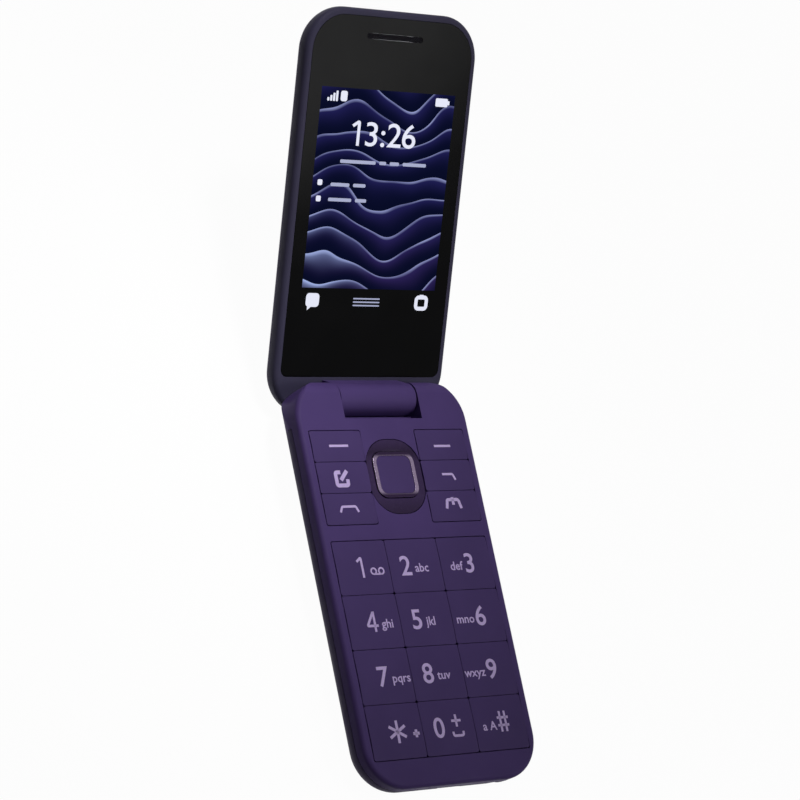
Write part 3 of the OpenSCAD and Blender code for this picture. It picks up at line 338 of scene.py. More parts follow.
def ring_with_painted_shade(name, look):
    """Lacquer of the navigation ring, with painted shade: darkest above the select key and towards the lower end.
    """
    finish = Finish(name)
    ring_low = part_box("nav_ring")[0].y
    key_low, key_high = (corner.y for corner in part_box("select_bezel"))
    # Painted shadow along the select key's upper edge, and painted shade towards the ring's lower end
    painted_key_shadow = finish.spread(finish.away(key_high), 1.0, 0.0, start=0.0, end=2.8 * MM)
    painted_lower_shade = finish.spread(finish.along(), 0.8, 0.0, start=ring_low, end=key_low)
    painted_shade = finish.math("MAXIMUM", painted_key_shadow, painted_lower_shade)
    body = finish.clouded(look.nav_ring, finish.noise(2 * MM, detail=3), low=0.95, high=1.05)
    body = finish.mix(painted_shade, body, look.nav_painted_shade)
    soft, _ = finish.soft_edge(look.key_edge)
    sheen = finish.spread(finish.noise(1.2 * MM, detail=3), 0.2, 0.3)
    normal = finish.bump(finish.noise(look.grain), strength=0.03, distance=look.grain * 0.3, normal=soft)
    return finish.close(Base_Color=body, Roughness=sheen, Normal=normal,
                        Specular_IOR_Level=PLASTIC_GLOSS, Coat_Weight=0.05, Coat_Roughness=0.2)


def speckled(name, base, fleck, size, roughness):
    """Board, foil or gum: two colours in flecks."""
    finish = Finish(name)
    flecks = finish.spread(finish.noise(size, detail=4), 0.0, 1.0, start=0.5, end=0.62)
    body = finish.mix(flecks, linear(base), linear(fleck))
    sheen = finish.spread(finish.noise(size * 3, detail=3), roughness - 0.08, roughness + 0.08)
    normal = finish.bump(flecks, strength=0.12, distance=size * 0.1)
    return finish.close(Base_Color=body, Roughness=sheen, Normal=normal)


def traced(name, base, copper, pitch):
    """Circuit board: solder mask over copper tracks that step along a grid."""
    finish = Finish(name)
    tracks = finish.out("ShaderNodeTexBrick", {
        "Vector": finish.place, "Scale": 1 / pitch, "Mortar Size": 0.035, "Mortar Smooth": 0.2,
        "Color1": (1, 1, 1, 1), "Color2": (0.8, 0.8, 0.8, 1), "Mortar": (0, 0, 0, 1)}, "Fac")
    body = finish.mix(tracks, linear(base), linear(copper))
    sheen = finish.spread(finish.noise(6 * MM, detail=3), 0.35, 0.5)
    normal = finish.bump(tracks, strength=0.15, distance=0.03 * MM)
    return finish.close(Base_Color=body, Roughness=sheen, Normal=normal)


def glassy(name, code, roughness, specular):
    """Black glass with faint wipe marks in its gloss."""
    finish = Finish(name)
    wiped = finish.out("ShaderNodeMapping", {"Vector": finish.place, "Scale": (1.0, 0.25, 1.0)})
    smear = finish.noise(9 * MM, detail=4, place=wiped)
    sheen = finish.spread(smear, roughness, roughness + 0.05)
    body = finish.clouded(linear(code), smear, low=0.85, high=1.15)
    return finish.close(Base_Color=body, Roughness=sheen, Specular_IOR_Level=specular)


def front_glass(look):
    """Black front glass: a soft gloss with faint smears."""
    finish = Finish("front_glass")
    smear = finish.noise(11 * MM, detail=3)
    body = finish.clouded(look.glass, smear, low=0.9, high=1.1)
    sheen = finish.spread(smear, 0.12, 0.17)
    return finish.close(Base_Color=body, Roughness=sheen, Specular_IOR_Level=0.036)


def glowing(name, shade):
    """Lit marks on a screen, with the fine grid of its dots."""
    finish = Finish(name)
    body = finish.clouded(shade, finish.noise(0.18 * MM, detail=1), low=0.93, high=1.0)
    return finish.close(Base_Color=(0.02, 0.02, 0.02), Roughness=0.4,
                        Emission_Color=body, Emission_Strength=1.0)


def inked(name, shade):
    """Screen-printed ink: slightly uneven cover, matt."""
    finish = Finish(name)
    body = finish.clouded(shade, finish.noise(0.35 * MM, detail=3), low=0.88, high=1.04)
    normal = finish.bump(finish.noise(0.12 * MM), strength=0.1, distance=0.01 * MM)
    return finish.close(Base_Color=body, Roughness=0.55, Normal=normal)


def wallpaper(look):
    """Lit picture: rolling crests under a night sky, brighter towards the lower left."""
    swell_size, swell_rise = 26, 3.6
    ripple_turn, ripple_start, ripple_rise = 0.16, 0.7, 0.32
    sky_height = 24
    glow_near, glow_far = 2, 22

    finish = Finish("wallpaper")
    on_lid = finish.out("ShaderNodeMapping", {
        "Vector": finish.place, "Location": LID.translation, "Rotation": (LID_RISE, 0, 0),
        "Scale": (MM, MM, MM)}, vector_type="TEXTURE")
    across, up, _ = finish.add("ShaderNodeSeparateXYZ", {"Vector": on_lid}).outputs

    # A saw wave up the screen, bent by slow swells across it
    swell = finish.noise(swell_size, detail=1.0, place=on_lid)
    ripple = finish.math("SINE", finish.math("MULTIPLY_ADD", across, ripple_turn, ripple_start))
    level = finish.math("DIVIDE", up, look.crest_pitch / MM)
    climb = finish.math("MULTIPLY_ADD", swell, swell_rise, level)
    saw = finish.math("FRACT", finish.math("MULTIPLY_ADD", ripple, ripple_rise, climb))

    # Slopes darken below each crest, and a thin rim lights it
    foot = (look.foot + look.bar) / MM
    sky = finish.mix(finish.spread(up, 1.0, 0.0, foot, foot + sky_height), look.dusk, look.violet)
    base = finish.mix(finish.math("POWER", saw, 2.4), look.night, sky)
    rim = finish.spread(saw, 0.0, 1.0, start=0.88, end=0.98)
    haze = finish.spread(finish.noise(13, place=on_lid), 0.2, 0.95)
    lit = finish.mix(finish.math("MULTIPLY", rim, haze), base, look.crest)

    corner = (-look.width / MM / 2, foot, 0)
    reach = finish.out("ShaderNodeVectorMath", {0: on_lid, 1: corner}, "Value", operation="DISTANCE")
    near = finish.spread(reach, 0.9, 0.0, glow_near, glow_far)
    glow = finish.math("MULTIPLY", near, finish.math("POWER", saw, 6.0))
    return finish.close(Base_Color=(0, 0, 0), Roughness=0.5, Specular_IOR_Level=0.0,
                        Emission_Color=finish.mix(glow, lit, look.glow), Emission_Strength=1.0)


# Objects and meshes

def linked(name, data):
    """A new object in the scene."""
    item = bpy.data.objects.new(name, data)
    bpy.context.scene.collection.objects.link(item)
    return item


def settled(item):
    """Plain mesh of an object with its modifiers applied. The object goes."""
    mesh = bpy.data.meshes.new_from_object(item.evaluated_get(bpy.context.evaluated_depsgraph_get()))
    bpy.data.objects.remove(item)
    return mesh


def baked(sheet, name):
    """Mesh of a bmesh, which is freed."""
    mesh = bpy.data.meshes.new(name)
    sheet.to_mesh(mesh)
    sheet.free()
    return mesh


def extent(mesh, axis):
    """Lowest and highest coordinate of a mesh along an axis."""
    values = [v.co[axis] for v in mesh.vertices]
    return min(values), max(values)


def at(x, y, z=0.0):
    """Placement in millimetres."""
    return Matrix.Translation(Vector((x, y, z)) * MM)


def joined(parts):
    """One mesh from several (mesh, place) pairs, places as matrices."""
    sheet = bmesh.new()
    for mesh, where in parts:
        mesh.transform(where)
        sheet.from_mesh(mesh)
        bpy.data.meshes.remove(mesh)
    return baked(sheet, "joined")


# Geometry node trees

class Grower(Graph):
    """A geometry node tree with named inputs."""

    def __init__(self, name, **inputs):
        super().__init__(bpy.data.node_groups.new(name, "GeometryNodeTree"))
        face = self.tree.interface
        face.new_socket("Geometry", in_out="INPUT", socket_type="NodeSocketGeometry")
        for key, kind in inputs.items():
            face.new_socket(key, in_out="INPUT", socket_type="NodeSocket" + kind)
        face.new_socket("Material", in_out="INPUT", socket_type="NodeSocketMaterial")
        face.new_socket("Geometry", in_out="OUTPUT", socket_type="NodeSocketGeometry")
        self.given = self.add("NodeGroupInput").outputs

    def row(self, count, pitch, axis=0):
        """Points at an even pitch along an axis, about the origin."""
        gaps = self.math("SUBTRACT", count, 1.0)
        first = self.math("MULTIPLY", gaps, self.math("MULTIPLY", pitch, -0.5))
        return self.out("GeometryNodeMeshLine", {
            "Count": count, "Start Location": self.out("ShaderNodeCombineXYZ", {axis: first}),
            "Offset": self.out("ShaderNodeCombineXYZ", {axis: pitch})}, mode="OFFSET")

    def close(self, geometry):
        real = self.out("GeometryNodeRealizeInstances", {0: geometry})
        final = self.out("GeometryNodeSetMaterial", {
            "Geometry": real, "Material": self.given["Material"]})
        self.add("NodeGroupOutput", {0: final})
        return self

    def grow(self, name, mesh, **values):
        """Runs the tree on a mesh and returns the result as a plain mesh."""
        source = linked(name, mesh)
        modifier = source.modifiers.new("grow", "NODES")
        modifier.node_group = self.tree
        for item in self.tree.interface.items_tree:
            if item.in_out == "INPUT" and item.name in values:
                modifier[item.identifier] = values[item.name]
        return settled(source)


def line_tree():
    """A drawn path becomes a flat ribbon with rounded corners."""
    tree = Grower("printed_line", Width="Float", Thickness="Float", Corner="Float")
    path = tree.out("GeometryNodeMeshToCurve", {0: tree.given["Geometry"]})
    eased_path = tree.out("GeometryNodeFilletCurve", {
        "Curve": path, "Radius": tree.given["Corner"], "Limit Radius": True, "Count": 5}, mode="POLY")
    level = tree.out("GeometryNodeSetCurveNormal", {0: eased_path}, mode="Z_UP")
    section = tree.out("GeometryNodeCurvePrimitiveQuadrilateral", {
        "Width": tree.given["Width"], "Height": tree.given["Thickness"]})
    body = tree.out("GeometryNodeCurveToMesh", {
        "Curve": level, "Profile Curve": section, "Fill Caps": True})
    return tree.close(tree.out("GeometryNodeSetShadeSmooth", {0: body, "Shade Smooth": False}))


def ring_tree():
    """A closed path becomes a trim with a round section."""
    tree = Grower("trim_ring", Section="Float")
    path = tree.out("GeometryNodeMeshToCurve", {0: tree.given["Geometry"]})
    section = tree.out("GeometryNodeCurvePrimitiveCircle", {
        "Resolution": 10, "Radius": tree.given["Section"]})
    return tree.close(tree.out("GeometryNodeCurveToMesh", {"Curve": path, "Profile Curve": section}))


# Height of each set of wires over or under the middle of a gauze, in radii of a wire
WEAVE = 0.6


def gauze_tree():
    """Two sets of crossing wires that fill a slot with round ends."""
    tree = Grower("gauze", Length="Float", Height="Float", Pitch="Float", Wire="Float", Round="Float")
    given = tree.given
    section = tree.out("GeometryNodeCurvePrimitiveCircle", {"Resolution": 6, "Radius": given["Wire"]})
    sets = []
    for axis, span, room, lift in ((0, "Length", "Height", WEAVE), (1, "Height", "Length", -WEAVE)):
        count = tree.math("FLOOR", tree.math("DIVIDE", given[span], given["Pitch"]))
        points = tree.row(count, given["Pitch"], axis)

        # One wire across the slot
        half = tree.math("MULTIPLY", given[room], 0.5)
        rise = tree.math("MULTIPLY", given["Wire"], lift)
        start, end = (tree.out("ShaderNodeCombineXYZ", {1 - axis: value, 2: rise})
                      for value in (tree.math("MULTIPLY", half, -1.0), half))
        wire = tree.out("GeometryNodeCurvePrimitiveLine", {"Start": start, "End": end})
        tube = tree.out("GeometryNodeCurveToMesh", {
            "Curve": wire, "Profile Curve": section, "Fill Caps": True})

        # Shorter wires towards the round ends
        here = tree.add("ShaderNodeSeparateXYZ", {0: tree.out("GeometryNodeInputPosition")})
        out = tree.math("ABSOLUTE", here.outputs[axis])
        straight = tree.math("SUBTRACT", tree.math("MULTIPLY", given[span], 0.5), given["Round"])
        past = tree.math("MAXIMUM", tree.math("SUBTRACT", out, straight), 0.0)
        square = tree.math("SUBTRACT", tree.math("MULTIPLY", given["Round"], given["Round"]),
                           tree.math("MULTIPLY", past, past))
        chord = tree.math("SQRT", tree.math("MAXIMUM", square, 0.0))
        filled = tree.math("ADD", tree.math("SUBTRACT", half, given["Round"]), chord)
        fit = tree.out("ShaderNodeCombineXYZ", {
            axis: 1.0, 1 - axis: tree.math("DIVIDE", filled, half), 2: 1.0})
        sets.append(tree.out("GeometryNodeInstanceOnPoints", {
            "Points": points, "Instance": tube, "Scale": fit}))
    both = tree.add("GeometryNodeJoinGeometry")
    for part in sets:
        tree.tree.links.new(part, both.inputs[0])
    return tree.close(both.outputs[0])


def row_tree():
    """One solid repeated along X at an even pitch."""
    tree = Grower("even_row", Count="Int", Pitch="Float")
    points = tree.row(tree.given["Count"], tree.given["Pitch"])
    return tree.close(tree.out("GeometryNodeInstanceOnPoints", {
        "Points": points, "Instance": tree.given["Geometry"]}))


# Mesh makers

def path_mesh(points, closed=False):
    """Vertices joined by edges, in metres from millimetres."""
    mesh = bpy.data.meshes.new("path")
    corners = [Vector((*point, 0)) * MM for point in points]
    edges = [(i, i + 1) for i in range(len(points) - 1)]
    if closed:
        edges.append((len(points) - 1, 0))
    mesh.from_pydata(corners, edges, [])
    return mesh


def plate_mesh(outline, thickness):
    """A flat closed plate from an outline in millimetres."""
    sheet = bmesh.new()
    face = sheet.faces.new([sheet.verts.new(Vector((*point, 0)) * MM) for point in outline])
    grown = bmesh.ops.extrude_face_region(sheet, geom=[face])["geom"]
    raised = [item for item in grown if isinstance(item, bmesh.types.BMVert)]
    bmesh.ops.translate(sheet, vec=(0, 0, thickness), verts=raised)
    bmesh.ops.recalc_face_normals(sheet, faces=sheet.faces[:])
    return baked(sheet, "plate")


def plates(outlines, thickness):
    """Plates that lie where their outlines do, as pairs for joined."""
    return [(plate_mesh(outline, thickness), Matrix()) for outline in outlines]


def arc(centre, radius, start, end, steps=12):
    """Points on an arc, angles in degrees."""
    turns = [math.radians(start + (end - start) * i / steps) for i in range(steps + 1)]
    return [(centre[0] + radius * math.cos(t), centre[1] + radius * math.sin(t)) for t in turns]


def rounded(width, height, radius, centre=(0, 0)):
    """Outline of a rectangle with round corners."""
    outline = []
    for quarter, (sx, sy) in enumerate(((1, 1), (-1, 1), (-1, -1), (1, -1))):
        middle = (centre[0] + sx * (width / 2 - radius), centre[1] + sy * (height / 2 - radius))
        outline += arc(middle, radius, 90 * quarter, 90 * quarter + 90, 5)
    return outline


def lathe(outline, steps=48):
    """A turned solid about Z from an outline of (radius, height) in millimetres."""
    sheet = bmesh.new()
    turns = [2 * math.pi * i / steps for i in range(steps)]
    rings = []
    for radius, height in outline:
        if radius == 0:
            rings.append([sheet.verts.new((0, 0, height * MM))] * steps)
            continue
        rings.append([sheet.verts.new((radius * math.cos(t) * MM, radius * math.sin(t) * MM, height * MM))
                      for t in turns])
    for low, high in zip(rings, rings[1:]):
        for i in range(steps):
            j = (i + 1) % steps
            sheet.faces.new(list(dict.fromkeys((low[i], low[j], high[j], high[i]))))
    bmesh.ops.recalc_face_normals(sheet, faces=sheet.faces[:])
    return baked(sheet, "turned")


def typeset(text, weight, steps):
    """Text in the built-in typeface as a solid one unit thick."""
    curve = bpy.data.curves.new("lettering", "FONT")
    curve.body = text
    curve.offset = weight
    curve.extrude = 0.5
    curve.fill_mode = "BOTH"
    curve.resolution_u = steps
    mesh = settled(linked("lettering", curve))
    bpy.data.curves.remove(curve)
    return mesh


def lettering(text, height, thickness, model, weight, steps=6):
    """Text as thin closed solids about the origin, scaled by the height of a model letter."""
    foot, top = extent(typeset(model, weight, steps), 1)
    mesh = typeset(text, weight, steps)
    left, right = extent(mesh, 0)
    scale = height / (top - foot)
    centring = Matrix.Translation((-(left + right) / 2, -(foot + top) / 2, 0.5))
    mesh.transform(Matrix.Diagonal((scale, scale, thickness, 1)) @ centring)
    return mesh


# Figures drawn with strokes, in shares of their height
DRAWN = {"1": [[(-0.2, 0.3), (0.07, 0.5), (0.07, -0.5)]],
         "4": [[(0.14, 0.5), (0.14, -0.5)], [(0.12, 0.46), (-0.3, -0.2), (0.34, -0.2)]]}
STROKE = 0.125
# Widths of a figure and of a colon, in shares of their height
FIGURE_PITCH = 0.66
COLON_PITCH = 0.36


def numerals(text, height, thickness, lines, weight):
    """Figures at an even pitch, about the origin."""
    stroke = STROKE * height
    parts = []
    pitches = [(COLON_PITCH if sign == ":" else FIGURE_PITCH) * height for sign in text]
    across = -sum(pitches) / 2
    for sign, pitch in zip(text, pitches):
        middle = Matrix.Translation((across + pitch / 2, 0, 0))
        across += pitch
        if sign not in DRAWN:
            parts.append((lettering(sign, height, thickness, "0", weight), middle))
        for points in DRAWN.get(sign, []):
            path = path_mesh([(x * height / MM, y * height / MM) for x, y in points])
            ribbon = lines.grow("figure", path, Width=stroke, Thickness=thickness, Corner=stroke / 4)
            parts.append((ribbon, middle @ Matrix.Translation((0, 0, thickness / 2))))
    return joined(parts)


def printed_on(mesh, node, ink):
    """Lays a flat mesh on top of a key so that it follows the key's crown."""
    low, high = extent(mesh, 1)
    sheet = bmesh.new()
    sheet.from_mesh(mesh)
    bpy.data.meshes.remove(mesh)
    for i in range(1, math.ceil((high - low) / ink.cut_step)):
        everything = sheet.verts[:] + sheet.edges[:] + sheet.faces[:]
        bmesh.ops.bisect_plane(sheet, geom=everything, dist=1e-7,
                               plane_co=(0, low + i * ink.cut_step, 0), plane_no=(0, 1, 0))
    surface = NODES[node].data
    tree = BVHTree.FromPolygons([v.co for v in surface.vertices],
                                [p.vertices[:] for p in surface.polygons])
    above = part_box(node)[1].z + MM
    for vertex in sheet.verts:
        hit = tree.ray_cast(Vector((vertex.co.x, vertex.co.y, above)), Vector((0, 0, -1)))[0]
        if hit is None:
            raise RuntimeError("a printed mark reaches past " + node)
        vertex.co.z += hit.z - ink.sink
    return baked(sheet, "print")


# Pieces and finishes

def piece(name, mesh, body, material, smooth=False):
    """Links a finished mesh as a piece of the phone that rides on a body."""
    mesh.name = name
    mesh.materials.clear()
    mesh.materials.append(material)
    if smooth:
        mesh.shade_smooth()
    item = linked(name, mesh)
    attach(item, body)


def dressed(node, material):
    """Gives a CAD node its finish."""
    slots = NODES[node].material_slots
    if not slots:
        raise RuntimeError("no material slot on " + node)
    for holder in slots:
        holder.material = material


def dressed_by_slot(finishes):
    """Gives the nodes of the listed material slots their finishes, and returns those nodes."""
    nodes = [node for node, slot in SLOT_OF.items() if slot in finishes]
    for node in nodes:
        dressed(node, finishes[SLOT_OF[node]])
    return nodes


def eased(node, width):
    """Rounds a node's sharp edges with real geometry."""
    item = NODES[node]
    weld = item.modifiers.new("weld", "WELD")
    weld.merge_threshold = 0.001 * MM
    clean = item.modifiers.new("clean", "DECIMATE")
    clean.decimate_type = "DISSOLVE"
    clean.angle_limit = math.radians(0.05)
    soft = item.modifiers.new("soft", "BEVEL")
    soft.width = width
    soft.segments = 3
    soft.limit_method = "ANGLE"
    soft.angle_limit = math.radians(50)
    soft.harden_normals = False
    level = item.modifiers.new("level", "WEIGHTED_NORMAL")
    level.keep_sharp = False


# Operators

class PhoneOperator(bpy.types.Operator):
    """Base of the phone's operators."""

    bl_options = {"REGISTER", "UNDO"}

    @property
    def look(self):
        return bpy.context.scene.flip_phone


class FLIPPHONE_OT_casing(PhoneOperator):
    """Gives the casing parts their moulded finishes"""

    bl_idname = "flip_phone.casing"
    bl_label = "Finish Casing"

    def execute(self, context):
        look = self.look.casing
        shades = {"purple_shell": look.shell, "dark_shell": look.dark_shell,
                  "frame_plastic": look.lid_frame}
        dressed_by_slot({slot: moulded(slot, shade, look.roughness, look.grain, look.edge_round)
                         for slot, shade in shades.items()})
        return {"FINISHED"}


class FLIPPHONE_OT_keys(PhoneOperator):
    """Gives keys, navigation ring and bezel their finishes and rounded edges"""

    bl_idname = "flip_phone.keys"
    bl_label = "Finish Keys"

    def execute(self, context):
        look = self.look.casing
        # Key caps get a stronger painted edge highlight
        caps = moulded("key_plastic", look.key_caps, look.roughness, look.grain, look.key_edge, edge_highlight_gain=1.45)
        finished = dressed_by_slot({
            "key_plastic": caps,
            "nav_plastic": ring_with_painted_shade("nav_plastic", look),
            "bezel_metal": painted_bezel_reflection("bezel_metal", look)})
        for node in finished:
            eased(node, look.key_edge)
        return {"FINISHED"}


class FLIPPHONE_OT_inside(PhoneOperator):
    """Gives glass, boards, metal parts and fittings their finishes"""

    bl_idname = "flip_phone.inside"
    bl_label = "Finish Fittings"

    def execute(self, context):
        dressed_by_slot({
            "glass": glassy("window_glass", "0b0b0d", roughness=0.06, specular=0.35),
            "display": glassy("display_panel", "14182e", roughness=0.12, specular=0.5),
            "steel": brushed("steel", "b4b6bb", roughness=0.3, grain=0.2 * MM),
            "circuit_board": traced("circuit_board", "1d4a35", "7d8a52", pitch=1.6 * MM),
            "rubber": speckled("rubber", "55505c", "67626e", size=0.3 * MM, roughness=0.7),
            "battery_pack": speckled("battery_wrap", "2b2f37", "3b404a", size=1.5 * MM, roughness=0.4),
            "contact_brass": brushed("contact_brass", "d2b463", roughness=0.28, grain=0.15 * MM),
            "black_plastic": moulded("black_plastic", linear("1a191d"), roughness=0.5,
                                     grain=0.12 * MM, edge=0.1 * MM),
            "dome_film": speckled("dome_film", "c7c2b2", "d8d4c6", size=0.8 * MM, roughness=0.35),
            "cable_film": speckled("cable_film", "a76a28", "c08340", size=0.6 * MM, roughness=0.3),
            "mesh_steel": brushed("mesh_steel", "141317", roughness=0.5, grain=0.1 * MM),
            "flash_lens": speckled("flash_phosphor", "d9d28e", "eee8bd", size=0.25 * MM, roughness=0.3)})
        return {"FINISHED"}


class FLIPPHONE_OT_key_print(PhoneOperator):
    """Prints digits, letters and marks on the keys"""

    bl_idname = "flip_phone.key_print"
    bl_label = "Print Keys"

    # Number keys row by row, and their letters
    signs = (*"123456789", "star", "0", "hash")
    letters = ("", "abc", "def", "ghi", "jkl", "mno", "pqrs", "tuv", "wxyz", "", "", "a A")
    # Millimetres across the phone, by column: middle of the digit, and where its letters start,
    # or in the right column end
    columns = ((-17.2, -14.4), (-3.05, -0.2), (17.7, 15.5))
    letter_drop = 1.0
    # Thickening of the typeface's strokes, and steps in each curve of a small letter
    digit_weight = 0.012
    letter_weight = 0.014
    letter_steps = 2
    # Share of the line width that some keys' marks are drawn with
    boldness = {"key_1": 0.7, "key_0": 1.05, "menu_key": 1.7, "key_star": 1.25, "key_hash": 1.05,
                "end_key": 1.4}

    def strokes(self, key):
        """Drawn marks of a key: lists of points in millimetres, in the phone's plan."""
        star_x, star_y, star_reach = -16.2, -39.6, 2.9
        rays = [(star_reach * x, star_reach * y) for x, y in arc((0, 0), 1, 30, 150, 2)]
        reel_left, reel_right, reel_y, reel_r = -13.5, -11.1, 2.0, 0.8
        reel_foot = reel_y - reel_r
        marks = {
            "soft_key_left": [[(-19.5, 35.5), (-13.5, 35.5)]],
            "soft_key_right": [[(14.3, 35.05), (19.7, 35.05)]],
            "menu_key": [[(-17.7, 28.4), (-19.3, 28.4), (-19.3, 24.9), (-15.8, 24.9), (-15.8, 26.5)],
                         [(-17.9, 26.3), (-15.6, 28.8)]],
            "call_key": [[(-20.0, 17.75), (-19.3, 19.25), (-15.0, 19.25), (-14.3, 17.75)]],
            "back_key": [[(15.0, 27.3), (18.4, 27.3), (19.1, 25.7)]],
            "end_key": [[(14.3, 17.9), (14.9, 20.3), (18.5, 20.3), (19.1, 17.9)],
                        [(16.7, 21.0), (16.7, 18.9)]],
            "key_1": [arc((x, reel_y), reel_r, 0, 360, 20) for x in (reel_left, reel_right)]
                     + [[(reel_left, reel_foot), (reel_right, reel_foot)]],
            "key_star": [[(star_x + x, star_y + y), (star_x - x, star_y - y)] for x, y in rays]
                        + [[(-11.5, -40.4), (-9.5, -40.4)], [(-10.5, -39.4), (-10.5, -41.4)]],
            "key_0": [[(1.2, -40.8), (1.2, -41.9), (4.4, -41.9), (4.4, -40.8)],
                      [(2.7, -39.6), (2.7, -36.4)], [(1.2, -38.0), (4.2, -38.0)]],
            "key_hash": [[(x, -36.5), (x, -41.9)] for x in (17.0, 18.6)]
                        + [[(16.0, y), (19.6, y)] for y in (-38.2, -40.2)]}
        return marks.get(key, [])

    def texts(self, lines):
        """Digits and letters of the number keys, as pairs for joined."""
        look = self.look.print
        texts = {}
        for i, (sign, letters) in enumerate(zip(self.signs, self.letters)):
            key = "key_" + sign
            low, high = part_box(key)
            middle = (low.y + high.y) / 2 / MM
            digit_x, letter_x = self.columns[i % 3]
            texts[key] = []
            if sign.isdigit():
                figure = numerals(sign, look.digit_height, look.thickness, lines, self.digit_weight)
                texts[key].append((figure, at(digit_x, middle)))
            if letters:
                small = lettering(letters, look.letter_height, look.thickness, "x",
                                  self.letter_weight, self.letter_steps)
                half = extent(small, 0)[1] / MM
                letter_x += half if letter_x > digit_x else -half
                texts[key].append((small, at(letter_x, middle - self.letter_drop)))
        return texts

    def execute(self, context):
        look = self.look.print
        ink = inked("label_ink", look.ink)
        lines = line_tree()
        texts = self.texts(lines)
        for node, slot in SLOT_OF.items():
            if slot != "key_plastic":
                continue
            parts = texts.get(node, [])
            width = look.line_width * self.boldness.get(node, 1.0)
            for points in self.strokes(node):
                closed = math.dist(points[0], points[-1]) < MM
                path = path_mesh(points[:-1] if closed else points, closed)
                ribbon = lines.grow("mark", path, Width=width, Thickness=look.thickness,
                                    Corner=look.line_corner)
                parts.append((ribbon, at(0, 0, look.thickness / MM / 2)))
            if parts:
                piece("print_" + node, printed_on(joined(parts), node, look), node, ink)
        return {"FINISHED"}


class FLIPPHONE_OT_screen(PhoneOperator):
    """Blackens the front glass and lights the picture on it"""

    bl_idname = "flip_phone.screen"
    bl_label = "Light Screen"

    # Thickness of the picture in millimetres. It lies half as high over the glass
    film = 0.006

    def execute(self, context):
        look = self.look.screen
        dressed("main_window", front_glass(look))
        low = (look.foot + look.bar) / MM
        high = (look.foot + look.height) / MM
        half = look.width / MM / 2
        picture = plate_mesh([(-half, low), (half, low), (half, high), (-half, high)], self.film * MM)
        picture.transform(LID @ at(0, 0, self.film / 2))
        piece("screen_picture", picture, "lid", wallpaper(look))
        return {"FINISHED"}


class FLIPPHONE_OT_readout(PhoneOperator):
    """Draws clock, status marks and key bar on the screen"""

    bl_idname = "flip_phone.readout"
    bl_label = "Draw Readout"

    # Thickness of the lit marks in millimetres
    layer = 0.02
    # Places are in millimetres on the lid: across from its middle, and up from the hinge axis
    clock_x, clock_y = -0.7, 68.95
    clock_stretch = 1.15
    clock_weight = 0.004
    # Lines of words drawn as bars: start, height up the lid, word lengths
    word_lines = ((-13.6, 61.6, (11.4, 2.2, 3.0, 7.7)), (-15.9, 55.5, (6.0, 4.0)),
                  (-16.2, 51.6, (7.4, 3.6)))
    word_height = 0.9
    word_round = 0.35
    word_gap = 1.2
    bullets = ((-19.3, 55.9), (-19.3, 51.7))
    menu_x = -0.6
    menu_heights = (24.2, 25.1, 26.0)

    def execute(self, context):
        look = self.look.screen
        thin = self.layer * MM
        lines = line_tree()
        clock = numerals(look.clock, look.clock_height, thin, lines, self.clock_weight)
        stretch = Matrix.Diagonal((self.clock_stretch, 1, 1, 1))
        marks = [(clock, at(self.clock_x, self.clock_y) @ stretch)]
        marks += plates([rounded(1.5, 1.5, 0.4, centre) for centre in self.bullets], thin)
        marks += plates(self.status(), thin)
        marks += self.key_bar(thin, lines)
        for name, parts, shine in (
                ("screen_readout", marks, glowing("readout_light", look.light)),
                ("screen_words", plates(self.words(), thin), glowing("word_light", look.words))):
            layer = joined(parts)
            layer.transform(LID)
            piece(name, layer, "lid", shine)
        return {"FINISHED"}

    def words(self):
        """Outlines of the bars that stand for words, and of the menu sign's three lines."""
        outlines = []
        for start, up, lengths in self.word_lines:
            for size in lengths:
                outlines.append(rounded(size, self.word_height, self.word_round, (start + size / 2, up)))
                start += size + self.word_gap
        return outlines + [rounded(8.6, 0.36, 0.15, (self.menu_x, up)) for up in self.menu_heights]

    def status(self):
        """Outlines of the signal steps and a sign at the left, and of the battery at the right."""
        steps = [rounded(0.65, 0.9 + 0.6 * i, 0.2, (-19.3 + 0.9 * i, 77.3 + 0.3 * i)) for i in range(4)]
        sign = rounded(2.1, 2.7, 0.6, (-14.4, 78.3))
        battery = rounded(4.0, 2.2, 0.4, (17.3, 78.4))
        battery_tip = rounded(0.6, 1.1, 0.2, (19.6, 78.4))
        return steps + [sign, battery, battery_tip]

    def key_bar(self, thin, lines):
        """Signs of the left and right key below the screen."""
        bubble = rounded(4.2, 3.6, 1.0, (-17.9, 25.4))
        bubble_tail = [(-19.4, 24.0), (-19.4, 22.7), (-17.8, 24.0)]
        loop = path_mesh(rounded(3.4, 3.0, 0.8, (17.5, 25.2)), True)
        loop_line = lines.grow("mark", loop, Width=1.05 * MM, Thickness=thin, Corner=0.1 * MM)
        loop_top = rounded(1.3, 0.6, 0.2, (17.5, 27.1))
        return plates([bubble, bubble_tail, loop_top], thin) + [(loop_line, at(0, 0, self.layer / 2))]


